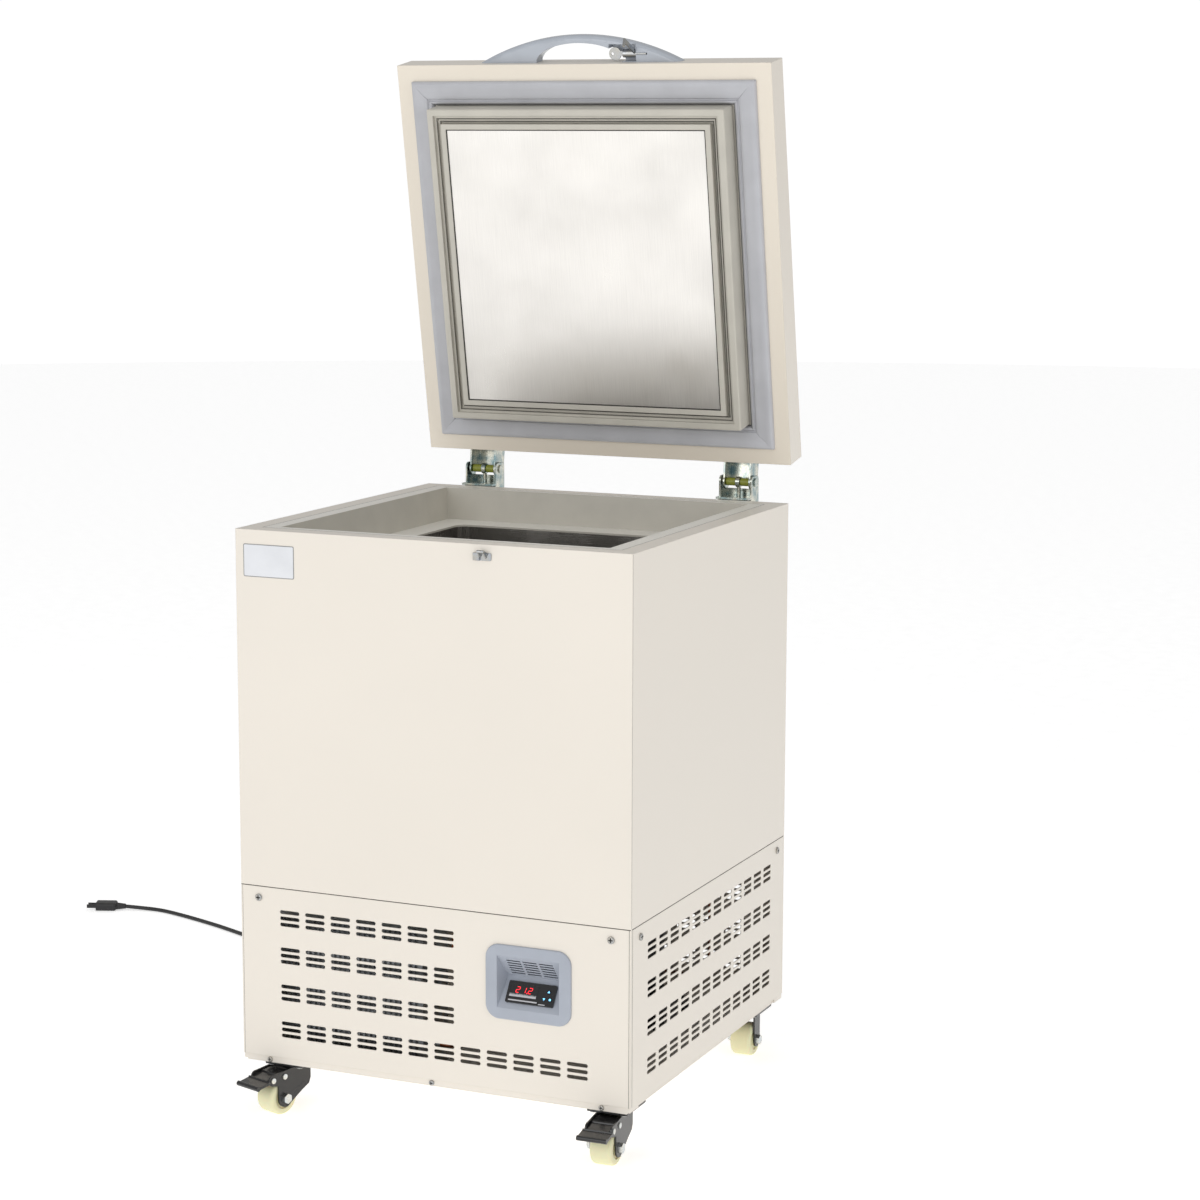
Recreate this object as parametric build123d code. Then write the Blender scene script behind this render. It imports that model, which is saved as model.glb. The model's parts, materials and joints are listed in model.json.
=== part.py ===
from build123d import *
import math
import os

# Chest ultra low temperature freezer, its lid open at the stop. Millimetres, +Z up, front towards -Y.

# ---- Driving dimensions -------------------------------------------------------------------------
CAB_W = 600.0  # insulated upper cabinet, width
CAB_D = 590.0  # and depth
CAB_H = 506.0  # and height, seam to rim
BASE_H = 248.0  # vented base panels
LIP_H = 9.0  # chassis lip that shows under the panels
CASTER_H = 73.0  # floor to chassis
CENTRE_SHIFT = 5.0  # the cabinet's middle stands this far in front of the origin
SHEET = 1.2  # painted steel
GAP = 0.3  # seated pieces that don't touch face to face

RIM_FLANGE = 28.0  # folded top edge of the shell
MOUTH_SIDE = 50.0  # rim width at the sides
MOUTH_FRONT = 40.0  # rim width at the front
MOUTH_BACK = 38.0  # rim width at the back
COLLAR_DEPTH = 48.0  # rim to ledge
COLLAR_TAPER = 6.0  # how far the collar walls lean inwards
COLLAR_WALL = 3.0
TANK_W = 400.0
TANK_D = 400.0
TANK_DEPTH = 362.0
TANK_WALL = 1.0
TANK_R = 18.0  # upright corners
TANK_LIP = 12.0  # flange under the ledge
COIL_R = 4.0  # evaporator tube
COIL_PITCH = 42.0

SLOT_L = 31.0
SLOT_W = 5.3
SLOT_PITCH = 9.0
CLUSTER_PITCH = 40.3
ROW_PITCH = 54.0
SLOTS_PER_CLUSTER = 3
ROWS = 4
COLUMNS = 12
SHORT_COLUMNS = 7  # clusters in the front rows beside the control bezel
PANEL_INSET_FRONT = 3.0  # corner post showing beside the front panel
PANEL_INSET_SIDE = 6.0  # corner post showing beside the side panels
PANEL_GAP = 1.2  # under the seam
POST_W = 30.0
POST_T = 2.0
TRAY_T = 2.0
TRAY_FLANGE_H = 25.0
LIP_INSET = 6.0
SCREW_HEAD_R = 5.2
SCREW_HEAD_H = 2.6
SCREW_SHANK_R = 2.1
LIP_SCREW_R = 3.9
SCREW_SIDE = 26.0  # panel screws, from the panel's side edges
SCREW_DROP = 17.0  # and under the seam

BEZEL_W = 128.0
BEZEL_H = 105.0
BEZEL_R = 20.0
BEZEL_T = 3.0
BEZEL_X = 149.0  # centre, right of the middle
BEZEL_DROP = 93.5  # centre, under the seam
WINDOW_W = 93.0
WINDOW_TOP = 37.0  # above the bezel's centre
WINDOW_BOTTOM = 36.5  # below it
RECESS_DEPTH = 23.6
RECESS_APEX = 3.5  # above the bezel's centre
RECESS_WALL = 2.5
RECESS_DRAFT = 5.0  # how far its ends lean inwards down to the apex
CONTROL_W = 71.5
CONTROL_H = 31.0
CONTROL_T = 3.2
CONTROL_BODY_W = 66.0
CONTROL_BODY_H = 25.0
CONTROL_BODY_L = 52.0
DISPLAY_W = 42.0
DISPLAY_H = 15.0
KEY_R = 2.6
KEY_STICK_OUT = 1.0

LID_W = 600.0
LID_D = 596.0
LID_T = 46.0
LID_OPEN = 79.9  # degrees from closed, at the stop
LID_SEAT = 10.0  # closed flange above the rim
HINGE_BEHIND = 28.5  # pin behind the cabinet's back
HINGE_ABOVE = 24.5  # pin above the rim
HINGE_TO_LID = 34.5  # pin to the lid's back edge, closed
GASKET_IN = 24.0
GASKET_W = 34.0
LID_FLANGE = 40.0
PLUG_IN_SIDE = 62.0
PLUG_IN_ENDS = 60.0
PLUG_H = 38.0
PLUG_RING = 10.0
PLUG_GROOVE = 12.0
PLUG_STRIP = 8.0
GROOVE_STEPS = ((0.0, 5.0), (0.4, 8.0), (0.75, 10.5))  # where each step starts across the groove, its depth
PLUG_WALL = 3.0
PLATE_T = 1.2

HINGE_XS = (-216.0, 209.4)
BRACKET_HALF = 26.2
BRACKET_T = 2.5
BRACKET_DROP = 75.0
EAR_REACH = 15.2  # ear before and behind the pin
EAR_UP = 10.0  # and above it
EAR_R = 7.5
WEB_UP = 13.0  # bracket's rear web above the rim
LEAF_HALF = 21.8
LEAF_R = 11.0
LEAF_FRONT = 6.5  # cheek before the pin, lid open
LEAF_WEB = 22.5  # web behind the pin, lid open
LEAF_REACH = 52.0
PIN_R = 4.0
RUNNING = 0.05
ROLLER_R = 6.0
ROD_R = 3.0
ROD_EYE_R = 8.0
SPRING_R = 9.0
SPRING_WIRE = 1.3
SPRING_PITCH = 6.0
SPRING_L = 56.0

HANDLE_X = -6.0  # its middle
HANDLE_L = 324.0
HANDLE_RISE = 39.5
HANDLE_GRIP = 138.0  # finger gap between the legs
HANDLE_CLEAR = 28.5  # height of the finger gap
HANDLE_W = 22.0
HANDLE_UP = 14.0  # above the lid's flange, closed
LOCK_X = 82.0
LOCK_OUT = 12.0  # axis in front of the lid's edge
LOCK_UP = 6.0  # axis above the handle's lower face
LOCK_R = 6.0
HOOK_T = 2.5
KEY_OUT = 6.0  # blade between the lock and the bow
KEY_BOW_R = 9.5
HOOK_W = 5.5
CLAW_T = 5.0
CLAW_REACH = 6.5  # claw past the arm's side
HOOK_START = 238.0  # degrees in the Y, Z plane, unlocked
HOOK_TURN = 45.0  # from there to locked
STRIKE_X = 82.0
STRIKE_W = 26.0
STRIKE_H = 10.5
STRIKE_DROP = 16.5  # its middle under the rim
STRIKE_T = 1.5
CATCH_OUT = 10.0  # bar in front of the cabinet
CATCH_DROP = 8.5  # bar under the rim
CATCH_R = 2.0
CATCH_SIDE = 2.2  # clear of the hook, each side

CASTER_LEFT = 63.0  # swivel axes, in from the left side
CASTER_RIGHT = 36.0  # and from the right side
CASTER_FRONT = 36.0
CASTER_BACK = 63.0  # axle of the fixed rear casters, in from the back
HEADINGS = {"fl": -18.5, "fr": 1.5, "br": 0.0, "bl": 0.0}
WHEEL_R = 25.0
WHEEL_W = 32.0
TRAIL = 35.5  # wheel ahead of the swivel axis
FORK_HALF = 19.5
FORK_T = 2.5
AXLE_R = 4.0
CASTER_PLATE_W = 60.0
CASTER_PLATE_L = 68.0
BRAKED = ("fl", "fr")  # swivel casters with brakes, the others are fixed
ARM_HALF = 11.0  # arms of a fixed caster
CASTER_PLATE_T = 3.0
RACE_R = 20.0
FORK_BACK = 12.0  # behind the swivel axis
FORK_KNEE = 42.0  # where the fork's back edge starts to lean, above the floor
RACE_H = 3.0
KINGPIN_R = 6.0
PEDAL_PIVOT = (37.0, 57.0)  # ahead of the swivel axis, above the floor
PEDAL_RIVET = (58.5, 55.5)
RIVET_R = 2.5
PEDAL_TIP = 88.0
PEDAL_TIP_HALF = 21.6

COMPRESSOR_R = 74.0
COMPRESSOR_H = 150.0
COMPRESSOR_X = 95.0
COMPRESSOR_Y = 120.0
FOOT_H = 14.0
STUB_L = 16.0  # pipe stubs of compressor and condenser
STUB_LOW = 40.0  # condenser's stubs, above its foot
STUB_HIGH = 30.0  # and under its top
CONDENSER_T = 48.0
CONDENSER_H = 205.0
CONDENSER_SIDE = 30.0  # inside the left panel's face
CONDENSER_IN = 34.0  # behind the front panel
LINE_R = 4.0  # refrigerant lines
LINE_BEND = 12.0
LINE_OVER = 26.0  # top run above the compressor's stubs
LINE_LANE = 13.0  # upright runs, clear of the compressor's can
LINE_OUT = 22.0  # and past the condenser's stubs
FOOT_PLATE_W = 200.0
FOOT_PLATE_D = 128.0
FOOT_R = 12.0
FIN_PITCH = 8.0
FAN_R = 84.0
FAN_BLADES = 5
MOTOR_R = 34.0
MOTOR_L = 44.0

CORD_R = 3.4
GLAND_X = -200.0
GLAND_Z = 152.0
COIL_X = -370.0
COIL_Y = 440.0
COIL_RING = 34.6  # middle of the coil's turns
COIL_CORDS_WIDE = 3
COIL_CORDS_HIGH = 2
PLUG_L = 36.0
PLUG_W = 26.0
PLUG_BODY_T = 15.0

# ---- Levels and faces worked out from them ------------------------------------------------------
FRONT = -CAB_D / 2 - CENTRE_SHIFT
BACK = FRONT + CAB_D
SIDE = CAB_W / 2
LANE_X = COMPRESSOR_X - COMPRESSOR_R - LINE_LANE
CONDENSER_XS = (-SIDE + CONDENSER_SIDE, LANE_X - LINE_OUT - STUB_L)
CONDENSER_X = sum(CONDENSER_XS) / 2
CONDENSER_W = CONDENSER_XS[1] - CONDENSER_XS[0]
PANEL_Z = CASTER_H + LIP_H
SEAM_Z = PANEL_Z + BASE_H
RIM_Z = SEAM_Z + CAB_H
PANEL_TOP = SEAM_Z - PANEL_GAP
LEDGE_Z = RIM_Z - COLLAR_DEPTH
FOAM_Z = SEAM_Z + 2 * SHEET
MOUTH_X = (-SIDE + MOUTH_SIDE, SIDE - MOUTH_SIDE)
MOUTH_Y = (FRONT + MOUTH_FRONT, BACK - MOUTH_BACK)
MOUTH_MID = sum(MOUTH_Y) / 2
TANK_X = (-TANK_W / 2, TANK_W / 2)
TANK_Y = (MOUTH_MID - TANK_D / 2, MOUTH_MID + TANK_D / 2)
TANK_TOP = LEDGE_Z - COLLAR_WALL
TANK_FLOOR = TANK_TOP - TANK_DEPTH
PIN_Y = BACK + HINGE_BEHIND
PIN_Z = RIM_Z + HINGE_ABOVE
LID_BACK = PIN_Y - HINGE_TO_LID
LID_FRONT = LID_BACK - LID_D
LID_Z = RIM_Z + LID_SEAT
LID_TOP = LID_Z + LID_T
LID_SIDE = LID_W / 2
TRAY_TOP = CASTER_H + TRAY_T
LID_POSE = Pos(0, PIN_Y, PIN_Z) * Rot(X=-LID_OPEN) * Pos(0, -PIN_Y, -PIN_Z)

PARTS = {}


def save(name, *solids):
    """Keep a piece, or a group of like pieces, under its node's name."""
    pieces = [s for group in solids for s in group.solids()]
    PARTS[name] = solids[0] if len(solids) == 1 else Compound(pieces)


# ---- Small shape helpers ------------------------------------------------------------------------
def block(x, y, z):
    """A box from three (low, high) pairs."""
    sizes = [high - low for low, high in (x, y, z)]
    middle = [(low + high) / 2 for low, high in (x, y, z)]
    return Pos(*middle) * Box(*sizes)


def inset(span, by):
    """A (low, high) pair drawn in at both ends."""
    return (span[0] + by, span[1] - by)


def frame_ring(x, y, z, side, ends=None):
    """A rectangular ring, side wide along X and ends wide along Y."""
    ends = side if ends is None else ends
    return block(x, y, z) - block(inset(x, side), inset(y, ends), inset(z, -1))


def outline(points):
    """A closed flat face through points."""
    return make_face(Polyline(*points, close=True))


def across(sketch, x):
    """A Y, Z sketch made solid along X between a (low, high) pair."""
    return extrude(Plane.YZ.offset(x[0]) * sketch, amount=x[1] - x[0])


def rod(start, end, radius):
    """A round bar between two points."""
    way = Vector(*end) - Vector(*start)
    return extrude(Plane(origin=start, z_dir=way) * Circle(radius), amount=way.length)


def pipe(points, radii, radius):
    """A round tube along straight runs joined by tangent arcs."""
    path = FilletPolyline(*points, radius=radii)
    return sweep(Plane(origin=path @ 0, z_dir=path % 0) * Circle(radius), path=path)


def mirrored(piece):
    """A piece and its image on the other side of the middle."""
    return [piece, mirror(piece, about=Plane.YZ)]


def pan_screw(face, shank, head_r=SCREW_HEAD_R):
    """A pan-head screw seated on a plane's face, its shank going into the sheet."""
    head = extrude(Circle(head_r), amount=SCREW_HEAD_H)
    head = fillet(head.edges().sort_by(Axis.Z)[-1], SCREW_HEAD_H * 0.45)
    blade = Box(head_r * 1.25, head_r * 0.34, SCREW_HEAD_H * 1.4)
    cross = Pos(0, 0, SCREW_HEAD_H) * (blade + Rot(Z=90) * blade)
    return face * (head - cross + extrude(Circle(SCREW_SHANK_R), amount=-shank))


def screw_holes(faces, depth):
    """Clearance holes for screws at planes."""
    return [face * extrude(Circle(SCREW_SHANK_R + 0.1), amount=-depth, both=True) for face in faces]


# ---- Insulated cabinet --------------------------------------------------------------------------
def cabinet_shell():
    outside = block((-SIDE, SIDE), (FRONT, BACK), (SEAM_Z, RIM_Z))
    inside = block(inset((-SIDE, SIDE), SHEET), inset((FRONT, BACK), SHEET), inset((SEAM_Z, RIM_Z), SHEET))
    through = block(
        inset((-SIDE, SIDE), RIM_FLANGE), inset((FRONT, BACK), RIM_FLANGE), inset((SEAM_Z, RIM_Z), -1)
    )
    shell = outside - inside - through
    upright = shell.edges().filter_by(Axis.Z).filter_by(
        lambda e: abs(abs(e.center().X) - SIDE) < 0.01 and e.center().Y in (FRONT, BACK)
    )
    return fillet(upright, SHEET) if len(upright) == 4 else shell


def collar_walls(grow, z):
    """The space inside the collar, grown outwards, as a loft down its slope between two levels."""
    faces = []
    for level in z:
        lean = COLLAR_TAPER * (RIM_Z - level) / COLLAR_DEPTH
        x = inset(MOUTH_X, lean - grow)
        y = inset(MOUTH_Y, lean - grow)
        faces.append(Pos(0, sum(y) / 2, level) * Rectangle(x[1] - x[0], y[1] - y[0]))
    return loft(faces)


def tank_prism(grow, z):
    """The tank's plan with rounded corners, grown outwards, between two levels."""
    plan = RectangleRounded(TANK_W + 2 * grow, TANK_D + 2 * grow, TANK_R + grow)
    return Pos(0, MOUTH_MID, z[0]) * extrude(plan, amount=z[1] - z[0])


def mouth_frame():
    strip = block(
        inset((-SIDE, SIDE), RIM_FLANGE), inset((FRONT, BACK), RIM_FLANGE), (RIM_Z - COLLAR_WALL, RIM_Z)
    )
    body = strip.cut(collar_walls(0, (RIM_Z + 1, RIM_Z - COLLAR_WALL - 1)))
    walls = collar_walls(COLLAR_WALL, (RIM_Z, TANK_TOP)) - collar_walls(0, (RIM_Z + 1, LEDGE_Z))
    return body + (walls - tank_prism(0, (TANK_TOP - 1, RIM_Z)))


def tank_liner():
    outer = tank_prism(TANK_WALL, (TANK_FLOOR - TANK_WALL, TANK_TOP))
    flange = tank_prism(TANK_LIP, (TANK_TOP - TANK_WALL, TANK_TOP))
    return outer + flange - tank_prism(0, (TANK_FLOOR, TANK_TOP + 1))


EVAPORATOR_OUT = TANK_WALL + COIL_R + GAP  # tube centre outside the tank's inner wall
EVAPORATOR_X = inset(TANK_X, -EVAPORATOR_OUT)
EVAPORATOR_Y = inset(TANK_Y, -EVAPORATOR_OUT)
COIL_BEND = TANK_R + EVAPORATOR_OUT
EVAPORATOR_TURNS = int((TANK_DEPTH - 60) // COIL_PITCH)
EVAPORATOR_LOW = TANK_FLOOR + 20
EVAPORATOR_TOP = EVAPORATOR_LOW + EVAPORATOR_TURNS * COIL_PITCH
TAIL_X = EVAPORATOR_X[1] + 40  # the coil's upper end comes down beside its lower end
TAIL_Z = SEAM_Z - 12


def evaporator_route():
    """One tube wound round the tank, each turn rising along the back, both ends coming down."""
    (x0, x1), (y0, y1) = EVAPORATOR_X, EVAPORATOR_Y
    points = [(x1, y1, TAIL_Z), (x1, y1, EVAPORATOR_LOW)]
    for turn in range(EVAPORATOR_TURNS):
        low = EVAPORATOR_LOW + turn * COIL_PITCH
        high = low + COIL_PITCH
        points += [(x1, y0, low), (x0, y0, low), (x0, y1, low), (x1, y1, high)]
    points[-1] = (TAIL_X, y1, EVAPORATOR_TOP)
    return points + [(TAIL_X, y1, TAIL_Z)]


def evaporator_room():
    """Grooves in the foam for the coil's turns, its rising back runs and its two ends."""
    half = COIL_R + GAP
    x, y = inset(EVAPORATOR_X, -half), inset(EVAPORATOR_Y, -half)
    back_y = (EVAPORATOR_Y[1] - COIL_BEND - half, y[1])
    room = block(x, back_y, (EVAPORATOR_LOW - half, EVAPORATOR_TOP + half))
    first_bend = (EVAPORATOR_LOW - COIL_BEND - half, EVAPORATOR_LOW + half)
    room += block((EVAPORATOR_X[1] - half, EVAPORATOR_X[1] + half), back_y, first_bend)
    for turn in range(EVAPORATOR_TURNS):
        level = EVAPORATOR_LOW + turn * COIL_PITCH
        room += block(x, y, (level - half, level + half))
    ends_x = (EVAPORATOR_X[1] - half, TAIL_X + half)
    return room + block(ends_x, (EVAPORATOR_Y[1] - half, y[1]), (SEAM_Z - 1, EVAPORATOR_TOP + half))


def cabinet_insulation():
    foam = block(inset((-SIDE, SIDE), SHEET), inset((FRONT, BACK), SHEET), (FOAM_Z, RIM_Z - SHEET))
    strip = (RIM_Z - COLLAR_WALL, RIM_Z)
    foam -= block(inset((-SIDE, SIDE), RIM_FLANGE), inset((FRONT, BACK), RIM_FLANGE), strip)
    foam -= collar_walls(COLLAR_WALL, (RIM_Z, TANK_TOP))
    foam -= tank_prism(TANK_LIP, (TANK_TOP - TANK_WALL, TANK_TOP + 1))
    foam -= tank_prism(TANK_WALL, (TANK_FLOOR - TANK_WALL, TANK_TOP))
    return foam - evaporator_room()


def floor_pan():
    """Steel sheet under the foam, with a hole for the coil's two ends."""
    pan = block(inset((-SIDE, SIDE), SHEET), inset((FRONT, BACK), SHEET), (SEAM_Z + SHEET, FOAM_Z))
    half = COIL_R + GAP
    y = EVAPORATOR_Y[1]
    return pan - block((EVAPORATOR_X[1] - half, TAIL_X + half), (y - half, y + half), (SEAM_Z, FOAM_Z + 1))


# ---- Base: chassis, vented panels, screws -------------------------------------------------------
def corner_post():
    """Front right post: an angle behind the panels, its outer corner coming flush between them."""
    x, y = SIDE - SHEET, FRONT + SHEET
    angle = block((x - POST_W, x), (y, y + POST_T), (TRAY_TOP, SEAM_Z))
    angle += block((x - POST_T, x), (y, y + POST_W), (TRAY_TOP, SEAM_Z))
    showing = block(
        (SIDE - PANEL_INSET_FRONT + GAP, SIDE - GAP),
        (FRONT + GAP, FRONT + PANEL_INSET_SIDE - GAP),
        (PANEL_Z, SEAM_Z),
    )
    return angle + showing


def base_chassis():
    x, y = inset((-SIDE, SIDE), LIP_INSET), inset((FRONT, BACK), SHEET)
    body = block(x, y, (CASTER_H, TRAY_TOP))
    body += frame_ring(x, y, (CASTER_H, TRAY_TOP + TRAY_FLANGE_H), POST_T)
    tray_room = block(inset(x, POST_T), inset(y, POST_T), (TRAY_TOP, TRAY_TOP + TRAY_FLANGE_H + 1))
    body -= tray_room
    centre = Plane(origin=(0, (FRONT + BACK) / 2, 0), z_dir=(0, 1, 0))
    posts = [corner_post()]
    posts += [mirror(posts[0], about=Plane.YZ)]
    posts += [mirror(post, about=centre) for post in posts]
    for post in posts:
        body += post
    for face in lip_screw_planes():
        body -= face * extrude(Circle(SCREW_SHANK_R + 0.1), amount=-POST_T * 2)
    return body


def slot_grid(columns, rows, first_column, width):
    """Centres of the slots of some rows, counted from the bottom, over a panel's width."""
    start = -(COLUMNS - 1) / 2 * CLUSTER_PITCH
    middle = (PANEL_Z + PANEL_TOP) / 2
    spots = []
    for row in rows:
        level = middle + (row - (ROWS - 1) / 2) * ROW_PITCH
        for column in range(first_column, first_column + columns):
            along = start + column * CLUSTER_PITCH
            if abs(along) + SLOT_L / 2 < width / 2:
                for slot in range(SLOTS_PER_CLUSTER):
                    rise = (slot - (SLOTS_PER_CLUSTER - 1) / 2) * SLOT_PITCH
                    spots.append(Pos(along, level + rise))
    return spots


def vented_sheet(width, spots):
    """A panel drawn flat, its slots cut through."""
    height = PANEL_TOP - PANEL_Z
    sheet = Pos(0, (PANEL_Z + PANEL_TOP) / 2) * Rectangle(width, height)
    return sheet - [spot * SlotOverall(SLOT_L, SLOT_W) for spot in spots]


FRONT_W = CAB_W - 2 * PANEL_INSET_FRONT
SIDE_W = CAB_D - 2 * PANEL_INSET_SIDE
CAB_MID = (FRONT + BACK) / 2
SCREW_Z = SEAM_Z - SCREW_DROP
BEZEL_Z = SEAM_Z - BEZEL_DROP


def panel_plane(side):
    """Outer face of a panel: X runs along it and Z points out of it."""
    return {
        "front": Plane(origin=(0, FRONT, 0), x_dir=(1, 0, 0), z_dir=(0, -1, 0)),
        "rear": Plane(origin=(0, BACK, 0), x_dir=(-1, 0, 0), z_dir=(0, 1, 0)),
        "right": Plane(origin=(SIDE, CAB_MID, 0), x_dir=(0, 1, 0), z_dir=(1, 0, 0)),
        "left": Plane(origin=(-SIDE, CAB_MID, 0), x_dir=(0, -1, 0), z_dir=(-1, 0, 0)),
    }[side]


def panel_screw_planes(side):
    reach = (FRONT_W if side in ("front", "rear") else SIDE_W) / 2 - SCREW_SIDE
    return [panel_plane(side) * Pos(along, SCREW_Z, 0) for along in (-reach, reach)]


def lip_screw_planes():
    lip = panel_plane("front") * Pos(0, 0, -SHEET)
    reach = SIDE - LIP_INSET - 37
    return [lip * Pos(along, CASTER_H + LIP_H / 2, 0) for along in (-reach, 0, reach)]


def panel(side):
    width = FRONT_W if side in ("front", "rear") else SIDE_W
    rows = range(ROWS)
    if side == "front":
        spots = slot_grid(COLUMNS, rows[:1], 0, width) + slot_grid(SHORT_COLUMNS, rows[1:], 0, width)
    else:
        spots = slot_grid(COLUMNS, rows, 0, width)
    sheet = vented_sheet(width, spots)
    if side == "front":
        sheet -= Pos(BEZEL_X, BEZEL_Z) * Rectangle(WINDOW_W + 4 * RECESS_WALL, BEZEL_H - 2 * BEZEL_T - 8)
    if side == "rear":
        sheet -= Pos(-GLAND_X, GLAND_Z) * Circle(GLAND_NECK)
    body = panel_plane(side) * extrude(sheet, amount=-SHEET)
    return body - screw_holes(panel_screw_planes(side), SHEET * 2)


def panel_screws():
    faces = [plane for side in ("front", "right", "rear", "left") for plane in panel_screw_planes(side)]
    lip = [pan_screw(face, POST_T, LIP_SCREW_R) for face in lip_screw_planes()]
    return [pan_screw(face, SHEET) for face in faces] + lip


# ---- Controls -----------------------------------------------------------------------------------
APEX = (FRONT + RECESS_DEPTH, BEZEL_Z + RECESS_APEX)
WINDOW_Z = (BEZEL_Z - WINDOW_BOTTOM, BEZEL_Z + WINDOW_TOP)
WINDOW_X = (BEZEL_X - WINDOW_W / 2, BEZEL_X + WINDOW_W / 2)


def slope_plane(z_end, toward):
    """On the middle of a recess slope, facing out of it."""
    start = (FRONT - BEZEL_T, z_end)
    dy, dz = APEX[0] - start[0], APEX[1] - start[1]
    middle = (BEZEL_X, (start[0] + APEX[0]) / 2, (start[1] + APEX[1]) / 2)
    return Plane(origin=middle, x_dir=(1, 0, 0), z_dir=(0, -abs(dz), toward * abs(dy)))


LOWER_SLOPE = slope_plane(WINDOW_Z[0], 1)
SLIT_ROWS = 6
SLIT_W = 21.0
SLIT_H = 1.9
SLIT_PITCH_X = 24.5
SLIT_PITCH_Z = 4.3
SLIT_DROP = 7.4  # first row under the window's top


def drafted_ends():
    """The recess seen from above: as wide as the window in front, narrower at its apex."""
    lean = RECESS_DRAFT / (APEX[0] - FRONT + BEZEL_T)
    front, back = FRONT - 2 * BEZEL_T, APEX[0] + RECESS_WALL
    wide, narrow = WINDOW_W / 2 + BEZEL_T * lean, WINDOW_W / 2 - (back - FRONT + BEZEL_T) * lean
    plan = [(-wide, front), (wide, front), (narrow, back), (-narrow, back)]
    plan = outline([(BEZEL_X + x, y) for x, y in plan])
    return Pos(0, 0, WINDOW_Z[0] - 1) * extrude(plan, amount=WINDOW_Z[1] - WINDOW_Z[0] + 2)


def control_bezel():
    face = Plane(origin=(BEZEL_X, FRONT, BEZEL_Z), x_dir=(1, 0, 0), z_dir=(0, -1, 0))
    plate = face * extrude(RectangleRounded(BEZEL_W, BEZEL_H, BEZEL_R), amount=BEZEL_T)
    plate = fillet(plate.faces().sort_by(Axis.Y)[0].outer_wire().edges(), BEZEL_T * 0.6)
    wall = RECESS_WALL
    back = (APEX[0] + wall * 1.6, APEX[1])
    outer = outline([(FRONT, WINDOW_Z[1] + wall), back, (FRONT, WINDOW_Z[0] - wall)])
    lips = [(FRONT - BEZEL_T, z) for z in WINDOW_Z]
    inner = outline([lips[1], APEX, lips[0], (FRONT - 2 * BEZEL_T, BEZEL_Z)])
    room = across(inner, WINDOW_X) & drafted_ends()
    body = plate + across(outer, inset(WINDOW_X, -wall)) - room
    for row in range(SLIT_ROWS):
        level = WINDOW_Z[1] - SLIT_DROP - row * SLIT_PITCH_Z
        for column in (-1, 0, 1):
            x = BEZEL_X + column * SLIT_PITCH_X
            body -= Pos(x, APEX[0] - RECESS_DEPTH / 2, level) * Box(SLIT_W, RECESS_DEPTH + 4 * wall, SLIT_H)
    return body - LOWER_SLOPE * Box(CONTROL_BODY_W + GAP, CONTROL_BODY_H + GAP, 6 * wall)


def key_planes():
    """Faces under the three keys: one above, two below, at the right of the controller."""
    spots = {"key_up": (26.0, 5.0), "key_down": (21.0, -5.5), "key_set": (30.0, -5.5)}
    return {name: LOWER_SLOPE * Pos(x, y, CONTROL_T) for name, (x, y) in spots.items()}


def controller_case():
    face = extrude(RectangleRounded(CONTROL_W, CONTROL_H, 2), amount=CONTROL_T)
    body = extrude(Rectangle(CONTROL_BODY_W, CONTROL_BODY_H), amount=-CONTROL_BODY_L)
    case = LOWER_SLOPE * (face + body)
    case -= LOWER_SLOPE * Pos(-11, 3.5, CONTROL_T) * Box(DISPLAY_W, DISPLAY_H, 2)
    for plane in key_planes().values():
        case -= plane * extrude(Circle(KEY_R + 0.15), amount=-2.4)
    return case


def display_window():
    return LOWER_SLOPE * Pos(-11, 3.5, CONTROL_T - 0.4) * Box(DISPLAY_W - 0.2, DISPLAY_H - 0.2, 1.2)


def key(plane):
    cap = extrude(Circle(KEY_R), amount=-1.3) + extrude(Circle(KEY_R), amount=KEY_STICK_OUT)
    return plane * fillet(cap.edges().sort_by(Axis.Z)[-1], 0.5)


# ---- Cooling machinery in the base --------------------------------------------------------------
COMPRESSOR_Z = TRAY_TOP + FOOT_H
FOOT_SPOTS = [
    (sx * (FOOT_PLATE_W / 2 - FOOT_R), sy * (FOOT_PLATE_D / 2 - FOOT_R)) for sx in (-1, 1) for sy in (-1, 1)
]
DISCHARGE_X = 30.0  # stubs on the compressor's top, either side of its middle


def compressor():
    """Welded dome on a pressed foot plate, terminal cover in front, two pipe stubs on top."""
    z0 = COMPRESSOR_Z
    r, h = COMPRESSOR_R, COMPRESSOR_H
    plate = Pos(0, 0, 2) * Box(FOOT_PLATE_W, FOOT_PLATE_D, 4)
    can = Pos(0, 0, 4) * extrude(Circle(r), amount=h - 4)
    can = fillet(can.edges().sort_by(Axis.Z)[-1], r * 0.45)
    weld = Pos(0, 0, h * 0.45) * extrude(Circle(r + 3), amount=5)
    body = plate + can + weld + block((-26, 26), (-r - 26, -r * 0.8), (h * 0.2, h * 0.62))
    for side in (-1, 1):
        body += rod((side * DISCHARGE_X, 0, h - 20), (side * DISCHARGE_X, 0, h + STUB_L), LINE_R + 1)
    for x, y in FOOT_SPOTS:
        body -= Pos(x, y, 2) * Cylinder(6, 12)
    return Pos(COMPRESSOR_X, COMPRESSOR_Y, z0) * body


def compressor_feet():
    """Rubber grommets between the tray and the compressor's foot plate."""
    feet = []
    for x, y in FOOT_SPOTS:
        foot = rod((x, y, 0), (x, y, FOOT_H), FOOT_R) + rod((x, y, FOOT_H - 1), (x, y, FOOT_H + 6), 5.9)
        feet.append(Pos(COMPRESSOR_X, COMPRESSOR_Y, TRAY_TOP) * foot)
    return feet


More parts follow.
